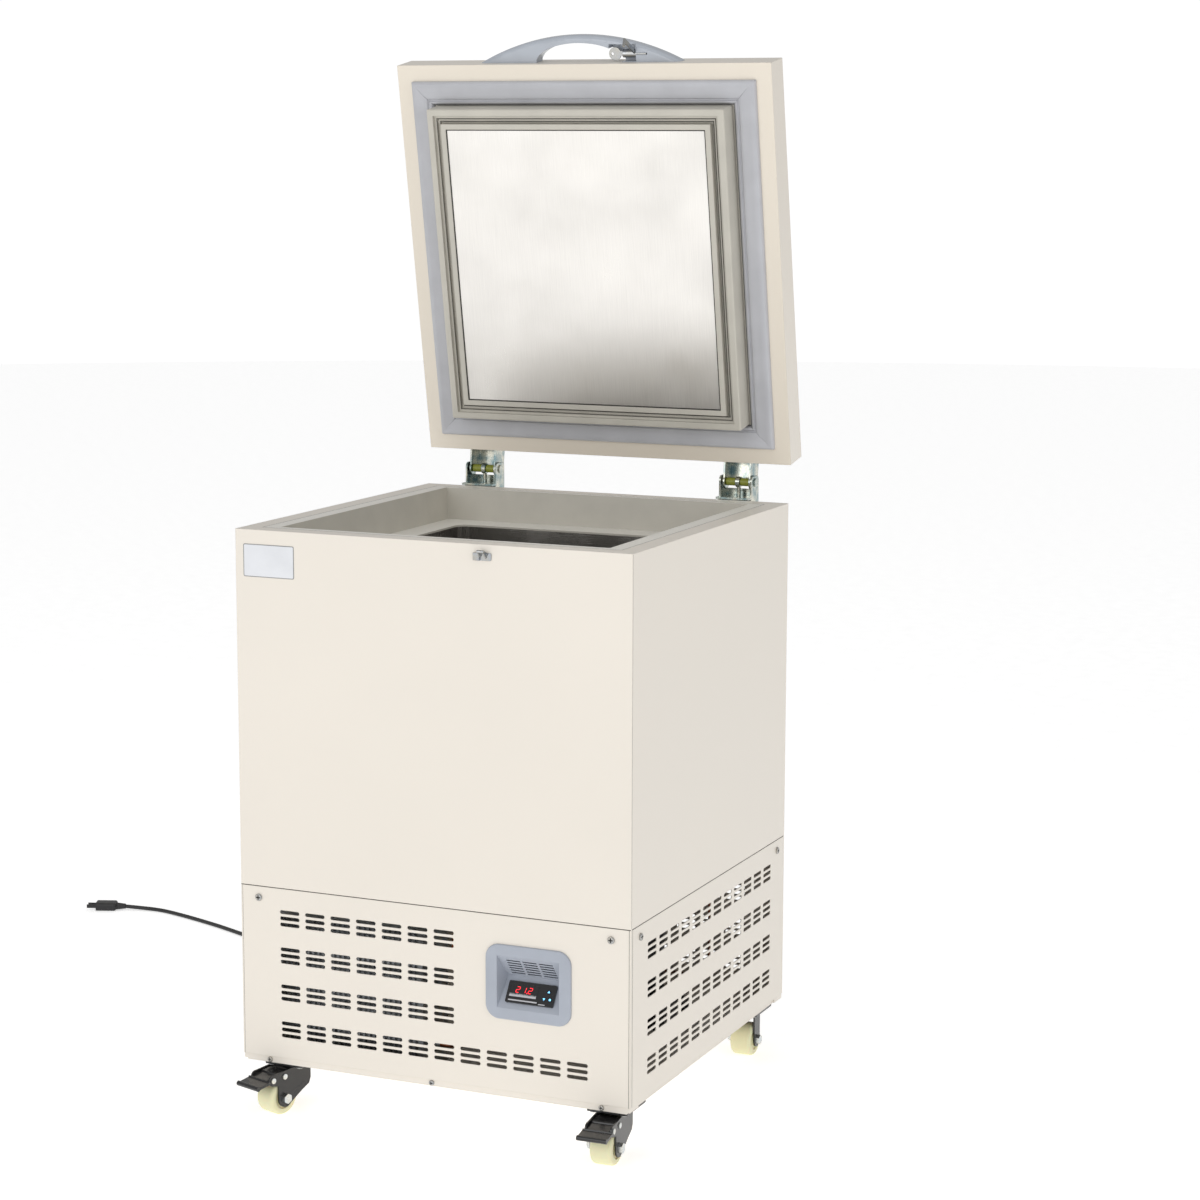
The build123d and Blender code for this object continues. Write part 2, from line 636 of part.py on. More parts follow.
CONDENSER_Y = (FRONT + CONDENSER_IN, FRONT + CONDENSER_IN + CONDENSER_T)
CONDENSER_Z = (TRAY_TOP, TRAY_TOP + CONDENSER_H)
FAN_Z = sum(CONDENSER_Z) / 2
SHROUD_T = 30.0
SHROUD_Y = (CONDENSER_Y[1], CONDENSER_Y[1] + SHROUD_T)
CONDENSER_STUB_Z = (CONDENSER_Z[0] + STUB_LOW, CONDENSER_Z[1] - STUB_HIGH)


def condenser():
    """Finned core between end plates, with two pipe stubs at its right end."""
    count = int((CONDENSER_W - 12) // FIN_PITCH)
    core = Rectangle(CONDENSER_W, CONDENSER_T - 8)
    half = (CONDENSER_T - 8) / 2
    spots = [Pos((n - (count - 1) / 2) * FIN_PITCH, s * half) for n in range(count) for s in (-1, 1)]
    core -= [spot * Rectangle(FIN_PITCH * 0.6, 10) for spot in spots]
    mid = sum(CONDENSER_Y) / 2
    body = Pos(CONDENSER_X, mid, CONDENSER_Z[0]) * extrude(core, amount=CONDENSER_H)
    for side, (a, b) in ((-1, (0, 3)), (1, (-3, 0))):
        end = CONDENSER_XS[0] if side < 0 else CONDENSER_XS[1]
        body += block((end + a, end + b), CONDENSER_Y, CONDENSER_Z)
    for level in CONDENSER_STUB_Z:
        body += rod((CONDENSER_XS[1] - 1, mid, level), (CONDENSER_XS[1] + STUB_L, mid, level), LINE_R + 1)
    return body


def fan_shroud():
    x = CONDENSER_XS
    room = block(inset(x, 2), (SHROUD_Y[0] - 1, SHROUD_Y[1] - 2), inset(CONDENSER_Z, 2))
    body = block(x, SHROUD_Y, CONDENSER_Z) - room
    hole = rod((CONDENSER_X, SHROUD_Y[1] - 3, FAN_Z), (CONDENSER_X, SHROUD_Y[1] + 1, FAN_Z), FAN_R + 4)
    return body - hole


MOTOR_Y = (SHROUD_Y[1] + 8, SHROUD_Y[1] + 8 + MOTOR_L)


def fan_motor():
    """Motor behind the shroud on four wire arms that end on the shroud's back."""
    motor = rod((CONDENSER_X, MOTOR_Y[0], FAN_Z), (CONDENSER_X, MOTOR_Y[1], FAN_Z), MOTOR_R)
    motor = fillet(motor.edges().filter_by(GeomType.CIRCLE), 4)
    motor += rod((CONDENSER_X, SHROUD_Y[0] + 8, FAN_Z), (CONDENSER_X, MOTOR_Y[0] + 1, FAN_Z), 3)
    reach = FAN_R + 9
    for turn in range(4):
        angle = math.radians(45 + 90 * turn)
        tip = (CONDENSER_X + reach * math.cos(angle), FAN_Z + reach * math.sin(angle))
        inner = (CONDENSER_X + 20 * math.cos(angle), FAN_Z + 20 * math.sin(angle))
        mid_y = MOTOR_Y[0] + 10
        motor += rod((inner[0], mid_y, inner[1]), (tip[0], mid_y, tip[1]), 2.5)
        motor += rod((tip[0], SHROUD_Y[1], tip[1]), (tip[0], mid_y + 2.5, tip[1]), 3)
    return motor


def fan_blades():
    """Pressed blades on a hub that turns on the motor's shaft."""
    hub = Cylinder(15, 16)
    fan = hub
    for number in range(FAN_BLADES):
        blade = Rot(X=28) * Box(FAN_R - 8, 40, 1.6)
        fan += Rot(Z=360 / FAN_BLADES * number) * Pos((FAN_R + 6) / 2, 0, 0) * blade
    fan &= Cylinder(FAN_R - 2, 40)
    fan -= Cylinder(3 + RUNNING, 60)
    middle = (SHROUD_Y[0] + SHROUD_Y[1]) / 2 - 1
    return Plane(origin=(CONDENSER_X, middle, FAN_Z), x_dir=(1, 0, 0), z_dir=(0, -1, 0)) * fan


DRIER_R = 11.0
DRIER_L = 90.0


def refrigerant_lines():
    """Discharge line, liquid line with its drier, and suction line back from the coil."""
    top = COMPRESSOR_Z + COMPRESSOR_H + STUB_L
    mid = sum(CONDENSER_Y) / 2
    x = CONDENSER_XS[1] + STUB_L
    over = top + LINE_OVER
    discharge_x, suction_x = COMPRESSOR_X - DISCHARGE_X, COMPRESSOR_X + DISCHARGE_X
    lane = LANE_X
    discharge = pipe(
        [
            (discharge_x, COMPRESSOR_Y, top),
            (discharge_x, COMPRESSOR_Y, over),
            (lane, COMPRESSOR_Y, over),
            (lane, mid, over),
            (lane, mid, CONDENSER_STUB_Z[1]),
            (x, mid, CONDENSER_STUB_Z[1]),
        ],
        LINE_BEND,
        LINE_R,
    )
    y = EVAPORATOR_Y[1]
    low = CONDENSER_STUB_Z[0]
    drier_y = (COMPRESSOR_Y - 30, COMPRESSOR_Y - 30 + DRIER_L)
    feed_x = EVAPORATOR_X[1] + 10
    liquid = pipe([(x, mid, low), (lane, mid, low), (lane, drier_y[0], low)], LINE_BEND, LINE_R)
    drier = rod((lane, drier_y[0], low), (lane, drier_y[1], low), DRIER_R)
    drier = chamfer(drier.edges().filter_by(GeomType.CIRCLE), 4)
    capillary = pipe(
        [
            (lane, drier_y[1], low),
            (lane, y + 22, low),
            (EVAPORATOR_X[1], y + 22, low),
            (EVAPORATOR_X[1], y + 22, TAIL_Z - 20),
            (EVAPORATOR_X[1], y, TAIL_Z - 20),
            (EVAPORATOR_X[1], y, TAIL_Z),
        ],
        9,
        2,
    )
    suction = pipe(
        [
            (TAIL_X, y, TAIL_Z),
            (TAIL_X, y, over),
            (TAIL_X, COMPRESSOR_Y, over),
            (suction_x, COMPRESSOR_Y, over),
            (suction_x, COMPRESSOR_Y, top),
        ],
        LINE_BEND,
        LINE_R,
    )
    return [discharge, liquid + drier + capillary, suction]


# ---- Cord: gland, tube, coil, plug --------------------------------------------------------------
GLAND_NECK = 9.0
GLAND_L = 40.0
CORD_EXIT = (GLAND_X, BACK + GLAND_L, GLAND_Z)
CORD_TO_COIL = [
    CORD_EXIT,
    (-200, 352, GLAND_Z),
    (-201, 377, 142),
    (-203, 394, 120),
    (-205, 402, 90),
    (-208, 407, 60),
    (-215, 410, 32),
    (-231, 412, 12),
    (-258, 408, CORD_R),
    (-298, 403, CORD_R),
    (-343, 402, CORD_R),
]
CORD_FROM_COIL = [
    (-397, 402, CORD_R),
    (-432, 403, CORD_R),
    (-484, 413, CORD_R),
    (-552, 426, CORD_R),
    (-628, 434, CORD_R),
    (-702, 454, CORD_R),
    (-772, 484, CORD_R),
    (-832, 511, CORD_R),
    (-888, 532, CORD_R),
    (-938, 549, CORD_R),
    (-982, 561, CORD_R),
    (-1020, 558, 4.0),
    (-1048, 547, 6.5),
]


def cord_radii(points):
    """Arc radii for a cord's corners, each as large as its two runs allow."""
    spots = [Vector(*p) for p in points]
    radii = []
    for before, corner, after in zip(spots, spots[1:], spots[2:]):
        run_in, run_out = corner - before, after - corner
        half = math.radians(run_in.get_angle(run_out)) / 2
        radii.append(0.45 * min(run_in.length, run_out.length) / math.tan(half))
    return radii


def cord_tube(points, name):
    radii = cord_radii(points)
    print(name, "radii", [round(r) for r in radii])
    tube = pipe(points, radii, CORD_R)
    path = FilletPolyline(*points, radius=radii)
    ratio = tube.volume / (math.pi * CORD_R**2 * path.length)
    print(name, "length", round(path.length, 1), "volume ratio", round(ratio, 4))
    return tube


def cable_gland():
    """Nut on the rear panel, neck through it and a tapered strain relief."""
    y = BACK
    gland = rod((GLAND_X, y - 10, GLAND_Z), (GLAND_X, y, GLAND_Z), GLAND_NECK - 0.2)
    gland += Plane(origin=(GLAND_X, y, GLAND_Z), z_dir=(0, 1, 0)) * extrude(RegularPolygon(14, 6), amount=8)
    gland += Plane(origin=(GLAND_X, y + 8, GLAND_Z), z_dir=(0, 1, 0)) * (
        Pos(0, 0, (GLAND_L - 8) / 2) * Cone(9, CORD_R + 1.2, GLAND_L - 8)
    )
    return gland


def cord_coil():
    """Outer shape of the wound cord, lying on the floor."""
    width = CORD_R * 2 * COIL_CORDS_WIDE
    ring = Circle(COIL_RING + width / 2) - Circle(COIL_RING - width / 2)
    return Pos(COIL_X, COIL_Y, 0) * extrude(ring, amount=CORD_R * 2 * COIL_CORDS_HIGH)


def power_plug():
    """Moulded plug with a tapered relief and two flat blades, lying where the cord ends."""
    end, before = Vector(*CORD_FROM_COIL[-1]), Vector(*CORD_FROM_COIL[-2])
    way = (end - before).normalized()
    flat = Vector(way.X, way.Y, 0).normalized()
    heading = Plane(origin=(end.X, end.Y, PLUG_BODY_T / 2), x_dir=Vector(-flat.Y, flat.X, 0), z_dir=flat)
    body = extrude(Pos(0, 0, 16) * RectangleRounded(PLUG_W, PLUG_BODY_T, 5), amount=PLUG_L)
    body = fillet(body.edges().group_by(Axis.Z)[0], 4)
    relief = Pos(0, -0.6, 9) * Cone(CORD_R + 1, 6.5, 18)
    blades = [Pos(x, 0, 16 + PLUG_L + 8) * Box(1.6, 6.3, 18) for x in (-6.4, 6.4)]
    return heading * (body + relief + blades[0] + blades[1])


# ---- Casters ------------------------------------------------------------------------------------
RACE_Z = CASTER_H - CASTER_PLATE_T - RACE_H
FORK_TOP = RACE_Z - GAP
FORK_PLATE_T = 3.0
FORK_INNER = FORK_HALF - FORK_T
HUB_R = 10.5
PEDAL_START = RACE_R + 10


def caster_places():
    left, right = -SIDE + CASTER_LEFT, SIDE - CASTER_RIGHT
    front, back = FRONT + CASTER_FRONT, BACK - CASTER_BACK
    return {"fl": (left, front), "fr": (right, front), "br": (right, back), "bl": (left, back)}


def ahead(points):
    """(ahead, up) pairs turned into the caster's own Y, Z, where ahead is towards -Y."""
    return [(-a, z) for a, z in points]


def mounting_plate():
    """Flat plate with four bolt holes."""
    x, y = (-CASTER_PLATE_W / 2, CASTER_PLATE_W / 2), (-CASTER_PLATE_L / 2, CASTER_PLATE_L / 2)
    body = block(x, y, (CASTER_H - CASTER_PLATE_T, CASTER_H))
    body = fillet(body.edges().filter_by(Axis.Z), 3)
    for x, y in BOLT_SPOTS:
        body -= Pos(x, y, CASTER_H) * Cylinder(3.3, 20)
    return body


def caster_plate():
    """Top plate of a swivel caster with its bearing race and kingpin."""
    body = mounting_plate() + rod((0, 0, RACE_Z), (0, 0, CASTER_H - 1), RACE_R)
    body += rod((0, 0, FORK_TOP - FORK_PLATE_T - 4), (0, 0, RACE_Z + 1), KINGPIN_R)
    return body + rod((0, 0, FORK_TOP - FORK_PLATE_T - 4), (0, 0, FORK_TOP - FORK_PLATE_T - GAP), 9)


BOLT_SPOTS = [
    (sx * (CASTER_PLATE_W / 2 - 7.5), sy * (CASTER_PLATE_L / 2 - 7.5)) for sx in (-1, 1) for sy in (-1, 1)
]


def caster_bolt(x, y):
    """Bolt head under the plate, seated on it, its shank in the plate's hole."""
    z = CASTER_H - CASTER_PLATE_T
    return rod((x, y, z - 2.2), (x, y, z), 5) + rod((x, y, z - 1), (x, y, CASTER_H), 3.2)


def caster_fork():
    """Pressed fork: round top under the race, two cheeks down to the axle and the arms for the pedal."""
    front = [
        (PEDAL_START - 4, FORK_TOP),
        (PEDAL_RIVET[0] + 2, PEDAL_RIVET[1] + 7.5),
        (PEDAL_RIVET[0] + 8, PEDAL_RIVET[1]),
        (PEDAL_RIVET[0], PEDAL_RIVET[1] - 8),
        (TRAIL + 13, PEDAL_RIVET[1] - 10),
        (TRAIL + 13, WHEEL_R),
    ]
    back = [(TRAIL - 9, WHEEL_R - 9.2), (4, FORK_KNEE - 12), (-FORK_BACK + 3, FORK_KNEE - 5)]
    back += [(-FORK_BACK, FORK_KNEE + 3), (-FORK_BACK, FORK_TOP)]
    cheek = outline(ahead(front + back)) + Pos(-TRAIL, WHEEL_R) * Circle(13)
    cheek += Pos(-PEDAL_RIVET[0], PEDAL_RIVET[1]) * Circle(8)
    solid = across(cheek, (FORK_INNER, FORK_HALF)) + across(cheek, (-FORK_HALF, -FORK_INNER))
    solid += rod((0, 0, FORK_TOP - FORK_PLATE_T), (0, 0, FORK_TOP), RACE_R)
    solid += block((-FORK_HALF, FORK_HALF), (FORK_BACK - 2.5, FORK_BACK), (FORK_KNEE + 3, FORK_TOP))
    solid += block((-FORK_HALF, FORK_HALF), (-10, FORK_BACK), (FORK_TOP - FORK_PLATE_T, FORK_TOP))
    solid -= rod((0, 0, 0), (0, 0, CASTER_H), KINGPIN_R + RUNNING)
    solid -= rod((-30, -TRAIL, WHEEL_R), (30, -TRAIL, WHEEL_R), AXLE_R)
    for spot in (PEDAL_PIVOT, PEDAL_RIVET):
        solid -= rod((-30, -spot[0], spot[1]), (30, -spot[0], spot[1]), RIVET_R)
    return solid


def fixed_bracket():
    """Fixed caster's bracket: its plate, two upright arms down to the axle and a web behind the wheel."""
    under = CASTER_H - CASTER_PLATE_T
    half = ARM_HALF
    arm = outline([(-half - 6, under + 1), (-half, under - 9), (-half, WHEEL_R), (half, WHEEL_R), (half, under + 1)])
    arm += Pos(0, WHEEL_R) * Circle(half)
    solid = mounting_plate() + across(arm, (FORK_INNER, FORK_HALF)) + across(arm, (-FORK_HALF, -FORK_INNER))
    solid += block((-FORK_HALF, FORK_HALF), (half - 2.5, half), (2 * WHEEL_R + 4, under + 1))
    return solid - rod((-30, 0, WHEEL_R), (30, 0, WHEEL_R), AXLE_R)


def caster_wheel(trail):
    """Nylon wheel with rounded shoulders, dished faces and hubs that reach the fork."""
    wheel = rod((-WHEEL_W / 2, 0, 0), (WHEEL_W / 2, 0, 0), WHEEL_R)
    wheel = fillet(wheel.edges().filter_by(GeomType.CIRCLE), 5)
    for side in (-1, 1):
        wheel -= rod((side * (WHEEL_W / 2 - 2), 0, 0), (side * WHEEL_W, 0, 0), 16)
    reach = FORK_INNER - GAP
    wheel += rod((-reach, 0, 0), (reach, 0, 0), HUB_R)
    wheel -= rod((-30, 0, 0), (30, 0, 0), AXLE_R + RUNNING)
    return Pos(0, -trail, WHEEL_R) * wheel


def caster_axle(trail, braked):
    """Axle bolt with its nut, and the rivets of the pedal."""
    across_x = Plane(origin=(0, -trail, WHEEL_R), z_dir=(1, 0, 0))
    bolt = across_x * Pos(0, 0, FORK_HALF) * extrude(RegularPolygon(7.5, 6), amount=5.3)
    bolt += rod((-FORK_HALF - 8.5, -trail, WHEEL_R), (FORK_HALF, -trail, WHEEL_R), AXLE_R)
    nut = extrude(RegularPolygon(7.5, 6) - Circle(AXLE_R), amount=6.5)
    nut = across_x * Pos(0, 0, -FORK_HALF - 6.5) * nut
    if not braked:
        return [bolt, nut]
    y, z = -PEDAL_PIVOT[0], PEDAL_PIVOT[1]
    pivot = rod((-FORK_HALF, y, z), (FORK_HALF, y, z), RIVET_R)
    for side in (-1, 1):
        pivot += rod((side * FORK_HALF, y, z), (side * (FORK_HALF + 1.5), y, z), 4)
    y, z = -PEDAL_RIVET[0], PEDAL_RIVET[1]
    stubs = []
    for side in (-1, 1):
        stub = rod((side * FORK_INNER, y, z), (side * FORK_HALF, y, z), RIVET_R)
        stubs.append(stub + rod((side * FORK_HALF, y, z), (side * (FORK_HALF + 1.5), y, z), 4))
    return [bolt, nut, pivot] + stubs


def brake_pedal():
    """Ribbed pedal between the cheeks, wider ahead of them, with a curled tip and a shoe over the wheel."""
    start = PEDAL_START
    step = (PEDAL_TIP - start) / 3
    z = 64.5
    top = [(start, z), (start + step, z - 2), (start + step + 0.6, z - 4)]
    top += [(start + 2 * step, z - 7), (start + 2 * step + 0.6, z - 9), (PEDAL_TIP, z - 12)]
    bottom = [(PEDAL_TIP - 2, z - 15.5), (start + 2 * step, z - 12.5)]
    bottom += [(start + step, z - 9.5), (start, z - 5)]
    body = across(outline(ahead(top + bottom)), (-FORK_INNER + 0.5, FORK_INNER - 0.5))
    wide_start = PEDAL_RIVET[0] + 8.8
    wide = across(outline(ahead(top[3:] + bottom[:3])), (-PEDAL_TIP_HALF, PEDAL_TIP_HALF))
    wide &= block((-50, 50), (-PEDAL_TIP - 5, -wide_start), (30, 80))
    tip = rod((-PEDAL_TIP_HALF, -PEDAL_TIP, z - 13.6), (PEDAL_TIP_HALF, -PEDAL_TIP, z - 13.6), 3.6)
    pivot = rod((-FORK_INNER + 0.5, 0, 0), (FORK_INNER - 0.5, 0, 0), 5)
    shoe = block((-9, 9), (-52, -46), (50.8, 56))
    pedal = body + wide + tip + Pos(0, -PEDAL_PIVOT[0], PEDAL_PIVOT[1]) * pivot + shoe
    y, level = -PEDAL_PIVOT[0], PEDAL_PIVOT[1]
    return pedal - rod((-30, y, level), (30, y, level), RIVET_R + RUNNING)


# ---- Hinges -------------------------------------------------------------------------------------
HOLE_BOLTS = [(sx * 13.0, -drop) for sx in (-1, 1) for drop in (18.0, 58.0)]


def hinge_bracket():
    """U bracket on the cabinet's back: upright ears for the pin, a rear web and a seat for the spring rod."""
    low = RIM_Z - BRACKET_DROP
    near, far = PIN_Y - EAR_REACH, PIN_Y + EAR_REACH
    ear = outline([(near, RIM_Z - 18), (far, RIM_Z - 18), (far, PIN_Z + EAR_UP), (near, PIN_Z + EAR_UP)])
    ear = fillet(ear.vertices().group_by(Axis.Y)[-1], EAR_R)
    ear += outline([(BACK, low), (BACK + 14, low), (far, RIM_Z - 18), (near, RIM_Z), (BACK, RIM_Z - 3)])
    body = across(ear, (BRACKET_HALF - BRACKET_T, BRACKET_HALF))
    body += across(ear, (-BRACKET_HALF, -BRACKET_HALF + BRACKET_T))
    body += block((-BRACKET_HALF, BRACKET_HALF), (BACK, BACK + BRACKET_T), (low, RIM_Z - 3))
    body += block((-BRACKET_HALF, BRACKET_HALF), (BACK, far), (RIM_Z + 0.6, RIM_Z + 3.6))
    body += block((-BRACKET_HALF, BRACKET_HALF), (far - BRACKET_T, far), (RIM_Z - 18, RIM_Z + WEB_UP))
    body -= rod((-40, PIN_Y, PIN_Z), (40, PIN_Y, PIN_Z), PIN_R)
    body -= rod((0, PIN_Y, RIM_Z - 5), (0, PIN_Y, RIM_Z + 10), ROD_R + 0.6)
    for x, dz in HOLE_BOLTS:
        body -= rod((x, BACK - 1, RIM_Z + dz), (x, BACK + 10, RIM_Z + dz), SCREW_SHANK_R + 0.1)
    return body


def hinge_pin():
    """Pin with two heads, the spring rod hung on it, its spring, and the nut under the spring."""
    reach = BRACKET_HALF
    pin = rod((-reach, PIN_Y, PIN_Z), (reach, PIN_Y, PIN_Z), PIN_R)
    for side in (-1, 1):
        pin += rod((side * reach, PIN_Y, PIN_Z), (side * (reach + 2), PIN_Y, PIN_Z), 6.5)
    foot = RIM_Z - SPRING_L - 4
    hanger = rod((-3.3, PIN_Y, PIN_Z), (3.3, PIN_Y, PIN_Z), ROD_EYE_R)
    hanger += rod((0, PIN_Y, foot - 8), (0, PIN_Y, PIN_Z - 5), ROD_R)
    hanger -= rod((-5, PIN_Y, PIN_Z), (5, PIN_Y, PIN_Z), PIN_R + RUNNING)
    hanger += rod((0, PIN_Y, foot - 5), (0, PIN_Y, foot), SPRING_R + 2)
    turns = Helix(SPRING_PITCH, SPRING_L - 2 * SPRING_WIRE - 1, SPRING_R)
    wire = Plane(origin=turns @ 0, z_dir=turns % 0) * Circle(SPRING_WIRE)
    spring = Pos(0, PIN_Y, foot + SPRING_WIRE + 0.1) * sweep(wire, path=turns, is_frenet=True)
    return [pin, hanger, spring]


def hinge_rollers():
    bore = PIN_R + RUNNING
    inner = LEAF_HALF - BRACKET_T - GAP
    roller = rod((3.6, PIN_Y, PIN_Z), (inner, PIN_Y, PIN_Z), ROLLER_R)
    roller = fillet(roller.edges().filter_by(GeomType.CIRCLE), 1)
    roller -= rod((0, PIN_Y, PIN_Z), (30, PIN_Y, PIN_Z), bore)
    return mirrored(roller)


def opened(points):
    """A closed Y, Z face given round the pin as it stands with the lid open, turned back to the closed pose."""
    return Pos(PIN_Y, PIN_Z) * Rot(Z=LID_OPEN) * outline(points)


def hinge_leaf():
    """U leaf, closed pose: plate on the lid's top, and a channel that stands upright when the lid is open."""
    turn = math.radians(LID_OPEN)
    corner_y, corner_z = LID_BACK - PIN_Y, LID_TOP - PIN_Z
    edge = (
        corner_y * math.cos(turn) + corner_z * math.sin(turn),
        -corner_y * math.sin(turn) + corner_z * math.cos(turn),
    )  # the lid's rear top edge, lid open, from the pin
    slope = 1 / math.tan(turn)
    head = edge[1] - 1.5 - (edge[0] + LEAF_FRONT) * slope
    web, t = LEAF_WEB, BRACKET_T
    cheek = opened([(-LEAF_FRONT, head), (-LEAF_FRONT - 3, 0), (3, -8), (web, 0), (edge[0] + t, edge[1] - 1.5)])
    cheek += Pos(PIN_Y, PIN_Z) * Circle(LEAF_R)
    body = across(cheek, (LEAF_HALF - t, LEAF_HALF)) + across(cheek, (-LEAF_HALF, -LEAF_HALF + t))
    outer = (edge[0] + t * math.sin(turn), edge[1] + t * math.cos(turn))
    fold = [(web - t, 2), (web, 2), (edge[0] + t, edge[1] - 1.5), outer, edge]
    body += across(opened(fold), (-LEAF_HALF, LEAF_HALF))
    body += block((-LEAF_HALF, LEAF_HALF), (LID_BACK - LEAF_REACH, LID_BACK), (LID_TOP, LID_TOP + t))
    body -= rod((-40, PIN_Y, PIN_Z), (40, PIN_Y, PIN_Z), PIN_R + RUNNING)
    for spot in leaf_screw_spots():
        body -= Pos(*spot) * Cylinder(SCREW_SHANK_R + 0.1, 20)
    return body


def leaf_screw_spots():
    return [(x, LID_BACK - y, LID_TOP + BRACKET_T) for x in (-13, 13) for y in (12, 40)]


def at_hinges(pieces):
    return [Pos(x, 0, 0) * piece for x in HINGE_XS for piece in pieces]


def hinge_screws():
    faces = [Plane(origin=(x, BACK + BRACKET_T, RIM_Z + dz), z_dir=(0, 1, 0)) for x, dz in HOLE_BOLTS]
    return at_hinges([pan_screw(face, BRACKET_T) for face in faces])


# ---- Lid, drawn closed and turned to its stop ---------------------------------------------------
LID_X = (-LID_SIDE, LID_SIDE)
LID_Y = (LID_FRONT, LID_BACK)
PLUG_X = inset(LID_X, PLUG_IN_SIDE)
PLUG_Y = inset(LID_Y, PLUG_IN_ENDS)
PLUG_Z = LID_Z - PLUG_H
PLATE_IN = PLUG_RING + PLUG_GROOVE + PLUG_STRIP


def lid_shell():
    """Folded steel tray: top, four sides and the flange that carries the gasket."""
    body = block(LID_X, LID_Y, (LID_Z, LID_TOP))
    body -= block(inset(LID_X, SHEET), inset(LID_Y, SHEET), inset((LID_Z, LID_TOP), SHEET))
    body -= block(inset(LID_X, LID_FLANGE), inset(LID_Y, LID_FLANGE), (LID_Z - 1, LID_Z + 2 * SHEET))
    corners = [e for e in body.edges().filter_by(Axis.Z) if abs(abs(e.center().X) - LID_SIDE) < 0.01]
    body = fillet([e for e in corners if min(abs(e.center().Y - y) for y in LID_Y) < 0.01], 1.1)
    for hinge_x in HINGE_XS:
        for x, y, z in leaf_screw_spots():
            body -= Pos(hinge_x + x, y, LID_TOP) * Cylinder(SCREW_SHANK_R + 0.1, 4 * SHEET)
    return body


def lid_plug_frame():
    """Moulded frame: base flange, plug sides, front ring, stepped groove and the strip round the plate."""
    flange_x, flange_y = inset(LID_X, LID_FLANGE + GAP), inset(LID_Y, LID_FLANGE + GAP)
    body = block(flange_x, flange_y, (LID_Z, LID_Z + PLUG_WALL))
    plug = block(PLUG_X, PLUG_Y, (PLUG_Z, LID_Z + PLUG_WALL))
    body += fillet(plug.edges().filter_by(Axis.Z) + plug.edges().group_by(Axis.Z)[0], 2.5)
    inside_x, inside_y = inset(PLUG_X, PLUG_WALL), inset(PLUG_Y, PLUG_WALL)
    skin = PLUG_GROOVE + PLUG_WALL
    body -= block(inside_x, inside_y, (PLUG_Z + skin, LID_Z + 2 * PLUG_WALL))
    groove = (PLUG_RING, PLUG_RING + PLUG_GROOVE)
    for share, depth in GROOVE_STEPS:
        start = groove[0] + PLUG_GROOVE * share
        z = (PLUG_Z - 1, PLUG_Z + depth)
        body -= frame_ring(inset(PLUG_X, start), inset(PLUG_Y, start), z, groove[1] - start)
    plate_x, plate_y = inset(PLUG_X, PLATE_IN), inset(PLUG_Y, PLATE_IN)
    return body - block(plate_x, plate_y, (PLUG_Z - 1, PLUG_Z + 2 * skin))


def lid_inner_plate():
    """Brushed stainless plate set in the plug, level with its strip."""
    plate_x, plate_y = inset(PLUG_X, PLATE_IN + 0.8), inset(PLUG_Y, PLATE_IN + 0.8)
    return block(plate_x, plate_y, (PLUG_Z + 1.2, PLUG_Z + 1.2 + PLATE_T))


def lid_insulation():
    foam = block(inset(LID_X, SHEET), inset(LID_Y, SHEET), inset((LID_Z, LID_TOP), SHEET))
    foam -= block(inset(LID_X, LID_FLANGE), inset(LID_Y, LID_FLANGE), (LID_Z, LID_Z + PLUG_WALL))
    skin = PLUG_GROOVE + PLUG_WALL
    foam += block(inset(PLUG_X, PLUG_WALL), inset(PLUG_Y, PLUG_WALL), (PLUG_Z + skin, LID_Z + 2 * PLUG_WALL))
    plate_x, plate_y = inset(PLUG_X, PLATE_IN), inset(PLUG_Y, PLATE_IN)
    return foam + block(plate_x, plate_y, (PLUG_Z + 1.2 + PLATE_T, PLUG_Z + 2 * skin))


def lid_gasket():
    """Magnetic gasket: soft ring with a crowned face and a slit chamber edge."""
    x, y = inset(LID_X, GASKET_IN), inset(LID_Y, GASKET_IN)
    z = (RIM_Z + GAP + 0.2, LID_Z)
    ring = frame_ring(x, y, z, GASKET_W)
    low = ring.edges().group_by(Axis.Z)[0]
    ring = chamfer(low, 2.2)
    groove = frame_ring(inset(x, GASKET_W * 0.72), inset(y, GASKET_W * 0.72), (z[0] - 1, z[0] + 2), 2.0)
    return ring - groove


HANDLE_Z = (LID_Z + HANDLE_UP, LID_Z + HANDLE_UP + HANDLE_W)
LOCK_Y = LID_FRONT - LOCK_OUT
LOCK_Z = HANDLE_Z[0] + LOCK_UP
CATCH_REACH = math.hypot(LOCK_Z - RIM_Z + CATCH_DROP, FRONT - CATCH_OUT - LOCK_Y)  # lock axis to catch bar
NOTCH_X = (HANDLE_X + HANDLE_GRIP / 2 - 20, LOCK_X + HOOK_T + 0.8)


